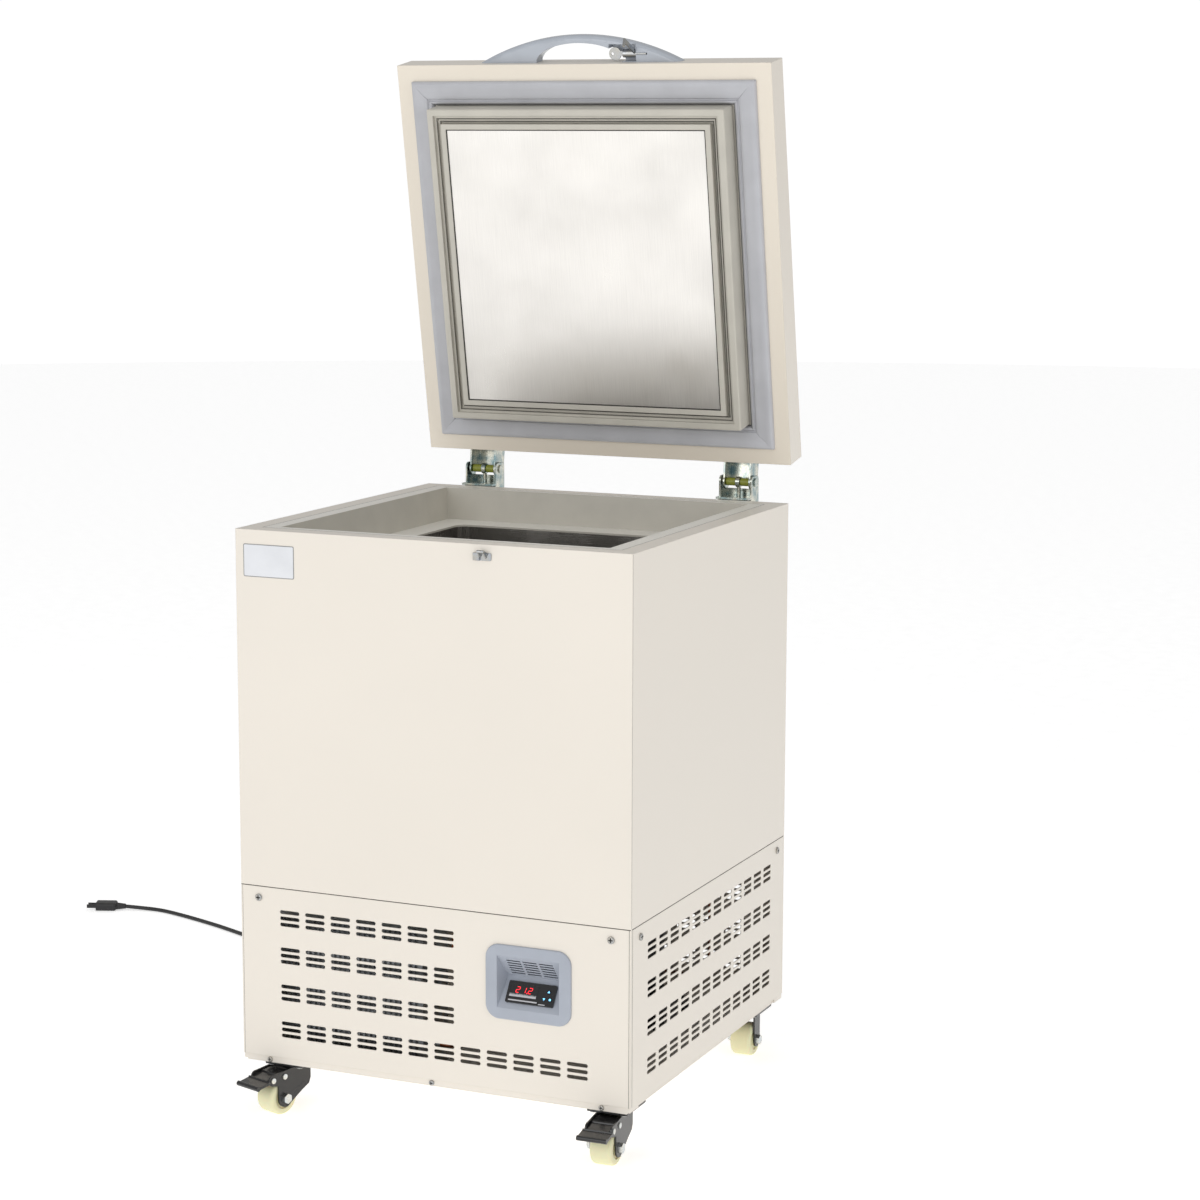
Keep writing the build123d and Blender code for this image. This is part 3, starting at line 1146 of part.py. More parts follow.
def lid_handle():
    """Arched handle on the lid's front edge: a low circular bow over an elliptical finger gap."""
    radius = ((HANDLE_L / 2) ** 2 + HANDLE_RISE**2) / (2 * HANDLE_RISE)
    bow = Pos(0, HANDLE_RISE - radius) * Circle(radius)
    half = HANDLE_L / 2
    bow &= Pos(0, HANDLE_RISE) * Rectangle(HANDLE_L, 2 * HANDLE_RISE)
    bow -= Ellipse(HANDLE_GRIP / 2, HANDLE_CLEAR)
    feet = Plane(origin=(HANDLE_X, LID_FRONT, HANDLE_Z[0]), x_dir=(1, 0, 0), z_dir=(0, 0, 1))
    edge_face = Plane(origin=(0, LID_FRONT, 0), z_dir=(0, 1, 0))
    shape = mirror(feet * extrude(bow, amount=HANDLE_W), about=edge_face)
    edge = [e for e in shape.edges() if e.geom_type == GeomType.CIRCLE and e.length > half]
    shape = fillet(edge, 7)
    notch = block(NOTCH_X, (LID_FRONT - 26, LID_FRONT - 1), (HANDLE_Z[0] - 1, HANDLE_Z[0] + 15))
    bore = rod((NOTCH_X[1] - 1, LOCK_Y, LOCK_Z + 0.0), (NOTCH_X[1] + 18, LOCK_Y, LOCK_Z), LOCK_R + RUNNING)
    return shape - notch - bore


def hook_outline():
    """Lock hook in its own plane: arm from the axis and a claw that passes under the catch bar."""
    inner = CATCH_REACH + CATCH_R
    arm = Pos(inner / 2, 0) * Rectangle(inner, HOOK_W)
    claw = Pos(inner + CLAW_T / 2, CLAW_REACH / 2) * Rectangle(CLAW_T, HOOK_W + CLAW_REACH)
    return Circle(LOCK_R) + arm + claw


def lock_key():
    """Cylinder plug with the hook, and the key in it, its bow facing the front when the lid is open."""
    plane = Plane(origin=(LOCK_X, LOCK_Y, LOCK_Z), x_dir=(0, 1, 0), z_dir=(1, 0, 0))
    hook = plane * Rot(Z=HOOK_START) * extrude(hook_outline(), amount=HOOK_T)
    start = HANDLE_X + HANDLE_GRIP / 2 + 1
    plug = rod((start, LOCK_Y, LOCK_Z), (NOTCH_X[1] + 16, LOCK_Y, LOCK_Z), LOCK_R)
    blade = block((start - KEY_OUT, start + 1), (LOCK_Y - 3.5, LOCK_Y + 3.5), (LOCK_Z - 1.1, LOCK_Z + 1.1))
    bow = Circle(KEY_BOW_R) - Pos(-KEY_BOW_R * 0.45, 0) * Circle(KEY_BOW_R * 0.25)
    middle = Pos(start - KEY_OUT - KEY_BOW_R + 2, LOCK_Y + 0.5, LOCK_Z - 1.1)
    return hook + plug + blade + middle * extrude(bow, amount=2.2)


def strike():
    """Catch on the cabinet's front: flanged plate with a screw, and a raised loop that the hook grips."""
    z = (RIM_Z - STRIKE_DROP - STRIKE_H / 2, RIM_Z - STRIKE_DROP + STRIKE_H / 2)
    x = (STRIKE_X - STRIKE_W / 2, STRIKE_X + STRIKE_W / 2)
    body = block(x, (FRONT - STRIKE_T, FRONT), z)
    body = fillet(body.edges().filter_by(Axis.Y), 2)
    tab = block((x[0], x[0] + STRIKE_W * 0.36), (FRONT - 3 * STRIKE_T, FRONT), z)
    body += fillet(tab.edges().group_by(Axis.Y)[0], 0.8)
    bar_y, bar_z = FRONT - CATCH_OUT, RIM_Z - CATCH_DROP
    legs = (LOCK_X - CATCH_SIDE, LOCK_X + HOOK_T + CATCH_SIDE)
    leg = outline([(FRONT, z[0] + 1), (FRONT, z[1]), (bar_y, bar_z + CATCH_R), (bar_y, bar_z - CATCH_R)])
    leg += Pos(bar_y, bar_z) * Circle(CATCH_R)
    for start in (legs[0] - STRIKE_T, legs[1]):
        body += across(leg, (start, start + STRIKE_T))
    return body + rod((legs[0] - 1, bar_y, bar_z), (legs[1] + 1, bar_y, bar_z), CATCH_R)


# ---- Build every piece --------------------------------------------------------------------------
def build():
    save("cabinet_shell", cabinet_shell())
    save("cabinet_insulation", cabinet_insulation())
    save("mouth_frame", mouth_frame())
    save("tank_liner", tank_liner())
    save("evaporator_coil", pipe(evaporator_route(), COIL_BEND, COIL_R))
    save("floor_pan", floor_pan())
    save("base_chassis", base_chassis())
    for side in ("front", "right", "rear", "left"):
        save(f"{side}_panel", panel(side))
    save("control_bezel", control_bezel())
    save("controller_case", controller_case())
    save("display_window", display_window())
    for name, plane in key_planes().items():
        save(name, key(plane))
    save("compressor", compressor())
    save("compressor_feet", *compressor_feet())
    save("condenser", condenser())
    save("fan_shroud", fan_shroud())
    save("fan_motor", fan_motor())
    save("fan_blades", fan_blades())
    save("refrigerant_lines", *refrigerant_lines())
    save("cable_gland", cable_gland())
    save("power_cord", cord_tube(CORD_TO_COIL, "cord to coil"), cord_tube(CORD_FROM_COIL, "cord from coil"))
    save("cord_coil", cord_coil())
    save("power_plug", power_plug())
    save("lock_strike", strike())
    save("hinge_brackets", *at_hinges([hinge_bracket()]))
    save("hinge_pins", *at_hinges(hinge_pin()))
    save("hinge_rollers", *at_hinges(hinge_rollers()))
    save("hinge_screws", *hinge_screws())
    save("lid_shell", LID_POSE * lid_shell())
    save("lid_insulation", LID_POSE * lid_insulation())
    save("lid_gasket", LID_POSE * lid_gasket())
    save("lid_plug_frame", LID_POSE * lid_plug_frame())
    save("lid_inner_plate", LID_POSE * lid_inner_plate())
    save("lid_handle", LID_POSE * lid_handle())
    save("hinge_leaves", *[LID_POSE * leaf for leaf in at_hinges([hinge_leaf()])])
    leaf_faces = [Plane(origin=spot, z_dir=(0, 0, 1)) for spot in leaf_screw_spots()]
    leaf_screws = at_hinges([pan_screw(face, BRACKET_T) for face in leaf_faces])
    save("lid_screws", *[LID_POSE * screw for screw in leaf_screws])
    save("lock_key", LID_POSE * lock_key())
    places = caster_places()
    save("caster_plates", *[Pos(*places[corner], 0) * caster_plate() for corner in BRAKED])
    bolts = [Pos(*place, 0) * caster_bolt(*spot) for place in places.values() for spot in BOLT_SPOTS]
    save("base_screws", *panel_screws(), *bolts)
    for corner, place in places.items():
        stand = Pos(*place, 0) * Rot(Z=HEADINGS[corner])
        braked = corner in BRAKED
        trail = TRAIL if braked else 0
        save(f"caster_fork_{corner}", stand * (caster_fork() if braked else fixed_bracket()))
        save(f"caster_wheel_{corner}", stand * caster_wheel(trail))
        save(f"caster_axle_{corner}", *[stand * piece for piece in caster_axle(trail, braked)])
        if braked:
            save(f"brake_pedal_{corner}", stand * brake_pedal())


build()
os.makedirs("parts", exist_ok=True)
for node, shape in PARTS.items():
    export_step(shape, f"parts/{node}.step")
print(len(PARTS), "nodes")
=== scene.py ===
# Looks of the chest ultra low temperature freezer: finishes, gasket, cord, small details and the studio.

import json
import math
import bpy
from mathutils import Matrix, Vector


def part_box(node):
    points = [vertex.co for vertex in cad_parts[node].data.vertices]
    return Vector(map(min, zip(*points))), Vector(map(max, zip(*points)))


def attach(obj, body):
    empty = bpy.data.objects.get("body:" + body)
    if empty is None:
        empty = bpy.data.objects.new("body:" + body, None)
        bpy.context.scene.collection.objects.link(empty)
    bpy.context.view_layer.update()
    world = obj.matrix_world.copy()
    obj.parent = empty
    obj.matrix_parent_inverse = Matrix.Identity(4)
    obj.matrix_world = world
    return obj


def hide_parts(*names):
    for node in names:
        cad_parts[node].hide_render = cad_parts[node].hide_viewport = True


bl_info = {
    "name": "Chest Ultra Low Temperature Freezer",
    "version": (1, 0, 0),
    "blender": (4, 5, 0),
    "location": "View3D > Sidebar > Freezer",
    "description": "Dresses the freezer's construction with its finishes, gasket, cord, display and studio",
    "category": "Object",
}

import bmesh
import bpy
from bpy.props import FloatProperty, FloatVectorProperty, PointerProperty, StringProperty
from mathutils import Euler, Matrix, Vector

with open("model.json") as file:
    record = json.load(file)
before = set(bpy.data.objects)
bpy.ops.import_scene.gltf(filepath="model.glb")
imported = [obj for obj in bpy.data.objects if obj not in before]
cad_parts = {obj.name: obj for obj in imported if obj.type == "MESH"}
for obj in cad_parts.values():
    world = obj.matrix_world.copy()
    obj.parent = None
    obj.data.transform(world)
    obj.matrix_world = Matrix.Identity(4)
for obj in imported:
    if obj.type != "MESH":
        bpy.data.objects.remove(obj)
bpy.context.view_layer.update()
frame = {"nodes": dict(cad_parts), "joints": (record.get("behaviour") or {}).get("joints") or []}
NODES = frame["nodes"]
JOINTS = {joint["name"]: joint for joint in frame["joints"]}
LID_HINGE = JOINTS["lid_hinge"]
LID_PIN = Vector(LID_HINGE["pos_m"])
LID_OPEN = math.radians(LID_HINGE["range_deg"][1])
# The lid is laid out shut, and this turns it to its rest pose, which is open.
LID_TURN = Matrix.Translation(LID_PIN) @ Matrix.Rotation(-LID_OPEN, 4, "X") @ Matrix.Translation(-LID_PIN)

ACROSS = Vector((1.0, 0.0, 0.0))
FORWARD = Vector((0.0, -1.0, 0.0))
UP = Vector((0.0, 0.0, 1.0))


# ---- Shader nodes -------------------------------------------------------------------------------
def add(tree, kind, inputs=None, **settings):
    """A shader node with its settings, its inputs linked to sockets or set to values."""
    made = tree.nodes.new(kind)
    for name, value in settings.items():
        setattr(made, name, value)
    for key, value in (inputs or {}).items():
        if isinstance(value, bpy.types.NodeSocket):
            tree.links.new(value, made.inputs[key])
        else:
            made.inputs[key].default_value = value
    return made


def start_group(name, inputs, outputs):
    """A new effect with named inputs, (name, default) pairs, and named outputs, (name, kind) pairs."""
    tree = bpy.data.node_groups.new(name, "ShaderNodeTree")
    for label, value in inputs:
        kind = "NodeSocketColor" if hasattr(value, "__len__") else "NodeSocketFloat"
        tree.interface.new_socket(label, in_out="INPUT", socket_type=kind).default_value = value
    for label, kind in outputs:
        tree.interface.new_socket(label, in_out="OUTPUT", socket_type=kind)
    return tree, tree.nodes.new("NodeGroupInput").outputs, tree.nodes.new("NodeGroupOutput").inputs


def metres(tree, squeeze=(1, 1, 1)):
    """Object coordinates, which are metres in the part's own frame."""
    place = add(tree, "ShaderNodeTexCoord").outputs["Object"]
    return add(tree, "ShaderNodeMapping", {"Vector": place, "Scale": squeeze}).outputs["Vector"]


def noise(tree, place, scale, detail=2.0, rough=0.5):
    inputs = {"Vector": place, "Scale": scale, "Detail": detail, "Roughness": rough}
    return add(tree, "ShaderNodeTexNoise", inputs).outputs["Fac"]


def maths(tree, operation, *values):
    return add(tree, "ShaderNodeMath", dict(enumerate(values)), operation=operation).outputs[0]


def spread(tree, value, low, high, start=0.0, end=1.0):
    inputs = {"Value": value, "From Min": start, "From Max": end, "To Min": low, "To Max": high}
    return add(tree, "ShaderNodeMapRange", inputs).outputs["Result"]


def blend(tree, share, first, second, mode="MIX"):
    """Two colours mixed; the numbers are the places of the Mix node's colour sockets."""
    inputs = {0: share, 6: first, 7: second}
    return add(tree, "ShaderNodeMix", inputs, data_type="RGBA", blend_type=mode).outputs[2]


def shaded(tree, colour, tone):
    """A colour multiplied by one tone."""
    grey = add(tree, "ShaderNodeCombineColor", {0: tone, 1: tone, 2: tone}).outputs[0]
    return blend(tree, 1.0, colour, grey, "MULTIPLY")


def linear(red, green, blue):
    """A colour, 0 to 255, as shader values."""
    parts = [v / 255 for v in (red, green, blue)]
    return tuple(v / 12.92 if v <= 0.04045 else ((v + 0.055) / 1.055) ** 2.4 for v in parts) + (1.0,)


SURFACE = (("Colour", "NodeSocketColor"), ("Height", "NodeSocketFloat"), ("Roughness", "NodeSocketFloat"))
NOISE_BODY = (0.3, 0.7)  # most of a noise's values lie between these
NOISE_WIDE = (0.25, 0.75)
NOISE_CORE = (0.35, 0.65)


def orange_peel_group():
    """Sprayed powder coat: fine rounded ripples, and a slow drift of tone."""
    tree, given, out = start_group(
        "Orange Peel",
        [("Colour", linear(238, 230, 220)), ("Ripple Size", 0.0016), ("Drift", 0.03)],
        SURFACE,
    )
    place = metres(tree)
    ripples = noise(tree, place, maths(tree, "DIVIDE", 1.0, given["Ripple Size"]), 1.5)
    slow = noise(tree, place, 3.0, 3.0)
    low = maths(tree, "SUBTRACT", 1.0, given["Drift"])
    tone = spread(tree, slow, low, 1.0, *NOISE_BODY)
    tree.links.new(shaded(tree, given["Colour"], tone), out["Colour"])
    tree.links.new(ripples, out["Height"])
    tree.links.new(spread(tree, slow, 0.34, 0.44, *NOISE_BODY), out["Roughness"])
    return tree


def moulded_grain_group():
    """Moulded plastic or rubber: a fine spark-eroded grain and slightly uneven gloss."""
    tree, given, out = start_group(
        "Moulded Grain",
        [
            ("Colour", (0.5, 0.5, 0.5, 1.0)), ("Grain Size", 0.0006),
            ("Gloss Spread", 0.08), ("Roughness", 0.45),
        ],
        SURFACE,
    )
    place = metres(tree)
    grain = noise(tree, place, maths(tree, "DIVIDE", 1.0, given["Grain Size"]), 2.0)
    cloudy = noise(tree, place, 25.0, 3.0)
    tone = spread(tree, cloudy, 0.95, 1.03, *NOISE_BODY)
    tree.links.new(shaded(tree, given["Colour"], tone), out["Colour"])
    tree.links.new(grain, out["Height"])
    swing = maths(tree, "MULTIPLY", maths(tree, "SUBTRACT", cloudy, 0.5), given["Gloss Spread"])
    tree.links.new(maths(tree, "ADD", given["Roughness"], swing), out["Roughness"])
    return tree


def brushed_group():
    """Brushed sheet: long fine scratches and faint handling marks.

    The scratches run along X where Stretch X is the smaller, and up the sheet where Stretch YZ is.
    """
    tree, given, out = start_group(
        "Brushed Lines",
        [
            ("Colour", linear(200, 196, 190)), ("Line Width", 0.0007), ("Roughness", 0.3),
            ("Stretch X", 3.0), ("Stretch YZ", 220.0), ("Contrast", 0.1),
        ],
        SURFACE,
    )
    along, up = given["Stretch X"], given["Stretch YZ"]
    squeeze = add(tree, "ShaderNodeCombineXYZ", {0: along, 1: up, 2: up}).outputs[0]
    fine = metres(tree, squeeze)
    size = maths(tree, "DIVIDE", 0.005, given["Line Width"])
    lines = noise(tree, fine, size, 2.0, 0.6)
    marks = noise(tree, metres(tree), 9.0, 4.0)
    swing = maths(tree, "MULTIPLY", spread(tree, lines, -1.0, 1.0, *NOISE_WIDE), given["Contrast"])
    tone = maths(tree, "SUBTRACT", maths(tree, "ADD", swing, 1.0), given["Contrast"])
    tree.links.new(shaded(tree, given["Colour"], tone), out["Colour"])
    tree.links.new(lines, out["Height"])
    rough = maths(tree, "ADD", given["Roughness"], spread(tree, marks, -0.05, 0.07, *NOISE_BODY))
    rough = maths(tree, "ADD", rough, spread(tree, lines, -0.04, 0.05, *NOISE_WIDE))
    tree.links.new(rough, out["Roughness"])
    return tree


def plated_group():
    """Zinc plate: soft bluish and straw clouds from the bath, with small spangles in its gloss."""
    tree, given, out = start_group(
        "Zinc Clouds",
        [("Cool", linear(186, 196, 204)), ("Warm", linear(196, 194, 180)), ("Roughness", 0.3)],
        SURFACE,
    )
    place = metres(tree)
    clouds = noise(tree, place, 70.0, 3.0)
    spangle = noise(tree, place, 600.0, 2.0)
    share = spread(tree, clouds, 0.0, 1.0, *NOISE_CORE)
    tree.links.new(blend(tree, share, given["Cool"], given["Warm"]), out["Colour"])
    tree.links.new(spangle, out["Height"])
    swing = spread(tree, spangle, -0.08, 0.1, *NOISE_BODY)
    tree.links.new(maths(tree, "ADD", given["Roughness"], swing), out["Roughness"])
    return tree


def settled_dust_group():
    """Dust that settles on faces turned upwards, thicker where the noise lets it lie."""
    tree, given, out = start_group(
        "Settled Dust",
        [("Colour", (0.5, 0.5, 0.5, 1.0)), ("Amount", 0.1)],
        [("Colour", "NodeSocketColor")],
    )
    normal = add(tree, "ShaderNodeNewGeometry").outputs["Normal"]
    up = add(tree, "ShaderNodeSeparateXYZ", {0: normal}).outputs[2]
    patches = noise(tree, metres(tree), 60.0, 4.0)
    lying = maths(tree, "MULTIPLY", maths(tree, "MAXIMUM", up, 0.0), patches)
    share = maths(tree, "MULTIPLY", lying, given["Amount"])
    tree.links.new(blend(tree, share, given["Colour"], linear(190, 186, 178)), out["Colour"])
    return tree


EFFECTS = {
    "peel": orange_peel_group,
    "moulded": moulded_grain_group,
    "brushed": brushed_group,
    "plated": plated_group,
    "dust": settled_dust_group,
}
made_effects = {}
made_finishes = {}


def effect(tree, name, inputs):
    """Places a shared effect in a material with its own values."""
    if name not in made_effects:
        made_effects[name] = EFFECTS[name]()
    placed = add(tree, "ShaderNodeGroup", node_tree=made_effects[name])
    for key, value in inputs.items():
        placed.inputs[key].default_value = value
    return placed


def finish(name, effect_name, inputs, bump=0.0, edge=0.0, dust=0.0, **surface):
    """A material: one effect for colour, gloss and relief, rounded edges, and plain values on the shader."""
    if name in made_finishes:
        return made_finishes[name]
    material = bpy.data.materials.new(name)
    material.use_nodes = True
    tree = material.node_tree
    shader = tree.nodes["Principled BSDF"]
    placed = effect(tree, effect_name, inputs)
    colour = placed.outputs["Colour"]
    if dust:
        settled = effect(tree, "dust", {"Amount": dust})
        tree.links.new(colour, settled.inputs["Colour"])
        colour = settled.outputs["Colour"]
    tree.links.new(colour, shader.inputs["Base Color"])
    tree.links.new(placed.outputs["Roughness"], shader.inputs["Roughness"])
    rounded = None
    if edge:
        rounded = add(tree, "ShaderNodeBevel", {"Radius": edge}, samples=6).outputs["Normal"]
    if bump:
        relief = add(tree, "ShaderNodeBump", {"Height": placed.outputs["Height"], "Distance": bump})
        relief.inputs["Strength"].default_value = 1.0
        if rounded:
            tree.links.new(rounded, relief.inputs["Normal"])
        rounded = relief.outputs["Normal"]
    if rounded:
        tree.links.new(rounded, shader.inputs["Normal"])
    for key, value in surface.items():
        shader.inputs[key.replace("_", " ")].default_value = value
    made_finishes[name] = material
    return material


PAINTED_LIGHT_FACING = (0.8, 0.95)  # painted light and shade come in as a face turns its way, by the cosine


def painted_light_copy(name, base, way, painted_tone):
    """A copy of a finish, with painted light and shade: a tone blended into its colour on the faces that look
    one way.
    """
    if name in made_finishes:
        return made_finishes[name]
    material = base.copy()
    material.name = name
    tree = material.node_tree
    shader = tree.nodes["Principled BSDF"]
    coat = shader.inputs["Base Color"].links[0].from_socket
    normal = add(tree, "ShaderNodeTexCoord").outputs["Normal"]
    facing = add(tree, "ShaderNodeVectorMath", {0: normal, 1: way}, operation="DOT_PRODUCT")
    share = spread(tree, facing.outputs["Value"], 0.0, 1.0, *PAINTED_LIGHT_FACING)
    tree.links.new(blend(tree, share, coat, painted_tone), shader.inputs["Base Color"])
    made_finishes[name] = material
    return material


def lid_coat_painted_shade():
    """The cabinet's coat, with painted shade on the flange that faces down when the lid is shut: a warmer,
    darker tone there.
    """
    down = LID_TURN.to_3x3() @ -UP
    return painted_light_copy("Lid Powder Coat Painted Shade", cabinet_paint(), down, linear(235, 226, 211))


def mouth_moulding():
    """The mouth's moulding, with painted light on its faces that look up, the seat among them: a paler tone
    there.
    """
    return painted_light_copy("Mouth Moulding Painted Light", moulding(), UP, linear(236, 233, 225))


def cabinet_paint():
    colour = bpy.context.scene.freezer_finishes.cabinet_colour
    return finish(
        "Cream Powder Coat", "peel", {"Colour": tuple(colour) + (1.0,)}, bump=0.00003, edge=0.0012,
        Coat_Weight=0.15, Coat_Roughness=0.25,
    )


def moulding():
    colour = bpy.context.scene.freezer_finishes.moulding_colour
    inputs = {"Colour": tuple(colour) + (1.0,), "Roughness": 0.42}
    return finish("Grey Beige Moulding", "moulded", inputs, bump=0.00002, edge=0.0012)


def bezel_plastic():
    colour = bpy.context.scene.freezer_finishes.bezel_colour
    inputs = {"Colour": tuple(colour) + (1.0,), "Roughness": 0.36}
    return finish("Blue Grey Moulding", "moulded", inputs, bump=0.00002, edge=0.001)


def handle_plastic():
    inputs = {"Colour": linear(178, 184, 193), "Roughness": 0.26}
    return finish("Handle Moulding", "moulded", inputs, bump=0.00002, edge=0.001, Coat_Weight=0.3)


def soft_gasket():
    inputs = {"Colour": linear(190, 191, 196), "Roughness": 0.5, "Grain Size": 0.0015}
    return finish("Gasket Vinyl", "moulded", inputs, bump=0.00003, edge=0.001)


def stainless():
    inputs = {"Colour": linear(205, 202, 198), "Roughness": 0.26}
    return finish("Brushed Stainless", "brushed", inputs, bump=0.000015, Metallic=1.0)


def lid_stainless():
    inputs = {
        "Colour": linear(240, 237, 232), "Roughness": 0.34,
        "Stretch X": 220.0, "Stretch YZ": 3.0, "Contrast": 0.06,
    }
    return finish(
        "Upright Brushed Stainless", "brushed", inputs, bump=0.000004,
        Metallic=1.0, Anisotropic=0.95,
    )


def sealant():
    inputs = {"Colour": linear(52, 50, 46), "Roughness": 0.5}
    return finish("Sealant", "moulded", inputs, bump=0.00004)


# Painted shade: a dark grey for the beads in the plug's groove and the joint round the mouth.
def groove_shadow():
    inputs = {"Colour": linear(96, 94, 88), "Roughness": 0.45}
    return finish("Groove Painted Shade", "moulded", inputs, bump=0.00001)


# Painted shade: a dark strip laid in the gap between the gasket and the plug.
def gap_painted_shade():
    inputs = {"Colour": linear(104, 104, 106), "Roughness": 0.6}
    return finish("Gasket Gap Painted Shade", "moulded", inputs, bump=0.00002)


# Painted shade: near-black for the dark crosses in the screws' recesses and the sheet behind the bezel's
# vent.
def recess_painted_shade():
    inputs = {"Colour": linear(26, 25, 24), "Roughness": 0.6}
    return finish("Recess Painted Shade", "moulded", inputs, bump=0.00002)


# Painted shade: a dark colour for strips laid in the seams, where shade falls in the gaps.
def seam_painted_shade():
    inputs = {"Colour": linear(58, 54, 44), "Roughness": 0.7}
    return finish("Seam Painted Shade", "moulded", inputs, bump=0.00002)


def plate_border():
    inputs = {"Colour": linear(146, 146, 146), "Roughness": 0.4}
    return finish("Plate Border", "moulded", inputs, bump=0.000006)


def silver_print():
    inputs = {"Colour": linear(206, 206, 210), "Roughness": 0.35, "Grain Size": 0.0009}
    return finish("Silver Print", "moulded", inputs, bump=0.000006, Metallic=0.4)


def lit(name, colour):
    glow = bpy.context.scene.freezer_display.glow
    inputs = {"Colour": colour, "Roughness": 0.3}
    return finish(name, "moulded", inputs, Emission_Color=colour, Emission_Strength=glow)


def galvanised():
    return finish("Galvanised Sheet", "plated", {"Roughness": 0.4}, bump=0.00001, edge=0.0006, Metallic=1.0)


def hinge_zinc():
    inputs = {"Cool": linear(132, 156, 160), "Warm": linear(216, 214, 200), "Roughness": 0.22}
    return finish("Bright Zinc Plate", "plated", inputs, bump=0.00001, edge=0.0008, Metallic=1.0)


def screw_steel():
    inputs = {"Cool": linear(170, 172, 174), "Warm": linear(180, 176, 168), "Roughness": 0.3}
    return finish("Screw Steel", "plated", inputs, edge=0.0004, Metallic=1.0)


def chrome():
    inputs = {"Cool": linear(166, 170, 175), "Warm": linear(176, 174, 168), "Roughness": 0.16}
    return finish("Polished Chrome", "plated", inputs, edge=0.0005, Metallic=1.0)


def caster_black():
    inputs = {"Colour": linear(17, 17, 19), "Roughness": 0.26, "Grain Size": 0.0014}
    return finish(
        "Black Gloss Coat", "moulded", inputs, bump=0.00002, edge=0.0009, dust=0.03,
        Coat_Weight=0.3,
    )


def bolt_zinc():
    inputs = {"Cool": linear(206, 214, 220), "Warm": linear(212, 210, 200), "Roughness": 0.3}
    return finish("Bolt Zinc", "plated", inputs, edge=0.0004, Metallic=1.0)


def wheel_nylon():
    colour = bpy.context.scene.freezer_finishes.wheel_colour
    inputs = {"Colour": tuple(colour) + (1.0,), "Roughness": 0.5, "Gloss Spread": 0.2}
    return finish("Cream Nylon", "moulded", inputs, bump=0.00003, edge=0.001, Subsurface_Weight=0.08)


def roller_nylon():
    inputs = {"Colour": linear(150, 156, 60), "Roughness": 0.35}
    return finish("Green Nylon", "moulded", inputs, edge=0.0006)


def cord_jacket():
    inputs = {"Colour": linear(30, 30, 32), "Roughness": 0.45, "Grain Size": 0.0012}
    return finish("Cord Jacket", "moulded", inputs, bump=0.00003, edge=0.0008, dust=0.1)


def controller_plastic():
    inputs = {"Colour": linear(20, 20, 23), "Roughness": 0.2}
    return finish("Controller Black", "moulded", inputs, bump=0.000005, edge=0.0006, Coat_Weight=0.4)


def copper():
    inputs = {"Cool": linear(186, 116, 82), "Warm": linear(150, 92, 64), "Roughness": 0.35}
    return finish("Drawn Copper", "plated", inputs, Metallic=1.0)


def fins():
    inputs = {"Colour": linear(196, 200, 204), "Roughness": 0.35, "Line Width": 0.0012}
    return finish("Aluminium Fins", "brushed", inputs, bump=0.00002, Metallic=1.0)


def black_enamel():
    inputs = {"Colour": linear(16, 16, 17), "Ripple Size": 0.004, "Drift": 0.2}
    return finish("Black Enamel", "peel", inputs, bump=0.00002, edge=0.001, dust=0.25)


def foam():
    inputs = {"Colour": linear(222, 208, 160), "Roughness": 0.9, "Grain Size": 0.002}
    return finish("Rigid Foam", "moulded", inputs, bump=0.0004)


def bare_plate():
    inputs = {"Colour": linear(226, 228, 232), "Roughness": 0.3, "Grain Size": 0.004}
    return finish("Blank Plate", "moulded", inputs, bump=0.000006)


def dress(slots):
    """Gives CAD nodes their finishes."""
    for names, material, slot in slots:
        for name in names.split():
            node = NODES[name]
            node.data.materials.clear()
            node.data.materials.append(material)


# ---- Mesh helpers -------------------------------------------------------------------------------
def mesh_from(name, build):
    """Runs a builder on a fresh bmesh and returns the mesh."""
    work = bmesh.new()
    build(work)
    bmesh.ops.recalc_face_normals(work, faces=work.faces)
    mesh = bpy.data.meshes.new(name)
    work.to_mesh(mesh)
    work.free()
    return mesh


def piece(name, build, materials, body, smooth=None):
    """A builder's mesh as a piece that rides on a body, smooth up to an angle in degrees."""
    mesh = mesh_from(name, build)
    made = bpy.data.objects.new(name, mesh)
    bpy.context.scene.collection.objects.link(made)
    for material in materials:
        mesh.materials.append(material)
    if smooth is not None:
        for face in mesh.polygons:
            face.use_smooth = True
        mesh.set_sharp_from_angle(angle=math.radians(smooth))
    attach(made, body)
    return made


def skin(work, rings):
    """Joins rings of as many corners each by bands of faces."""
    faces = []
    for first, second in zip(rings, rings[1:]):
        for n in range(len(first)):
            m = (n + 1) % len(first)
            faces.append(work.faces.new([first[n], first[m], second[m], second[n]]))
    return faces


def prism(work, outline, low, high, matrix, material=0):
    """A solid from a flat outline of (x, y) points, between two heights."""
    ends = []
    for height in (low, high):
        ends.append([work.verts.new(matrix @ Vector((x, y, height))) for x, y in outline])
    faces = [work.faces.new(list(reversed(ends[0]))), work.faces.new(ends[1]), *skin(work, ends)]
    for face in faces:
        face.material_index = material


def shifted(outline, x, y):
    return [(px + x, py + y) for px, py in outline]


def corners(places):
    """Lowest and highest corners round some places."""
    places = list(places)
    return [Vector(pick(place[axis] for place in places) for axis in range(3)) for pick in (min, max)]


def box(name):
    """A node's lowest and highest corners at rest."""
    return [Vector(corner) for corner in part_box(name)]


def closed_box(name):
    """A lid node's lowest and highest corners with the lid turned shut."""
    shut = LID_TURN.inverted()
    return corners(shut @ vertex.co for vertex in NODES[name].data.vertices)


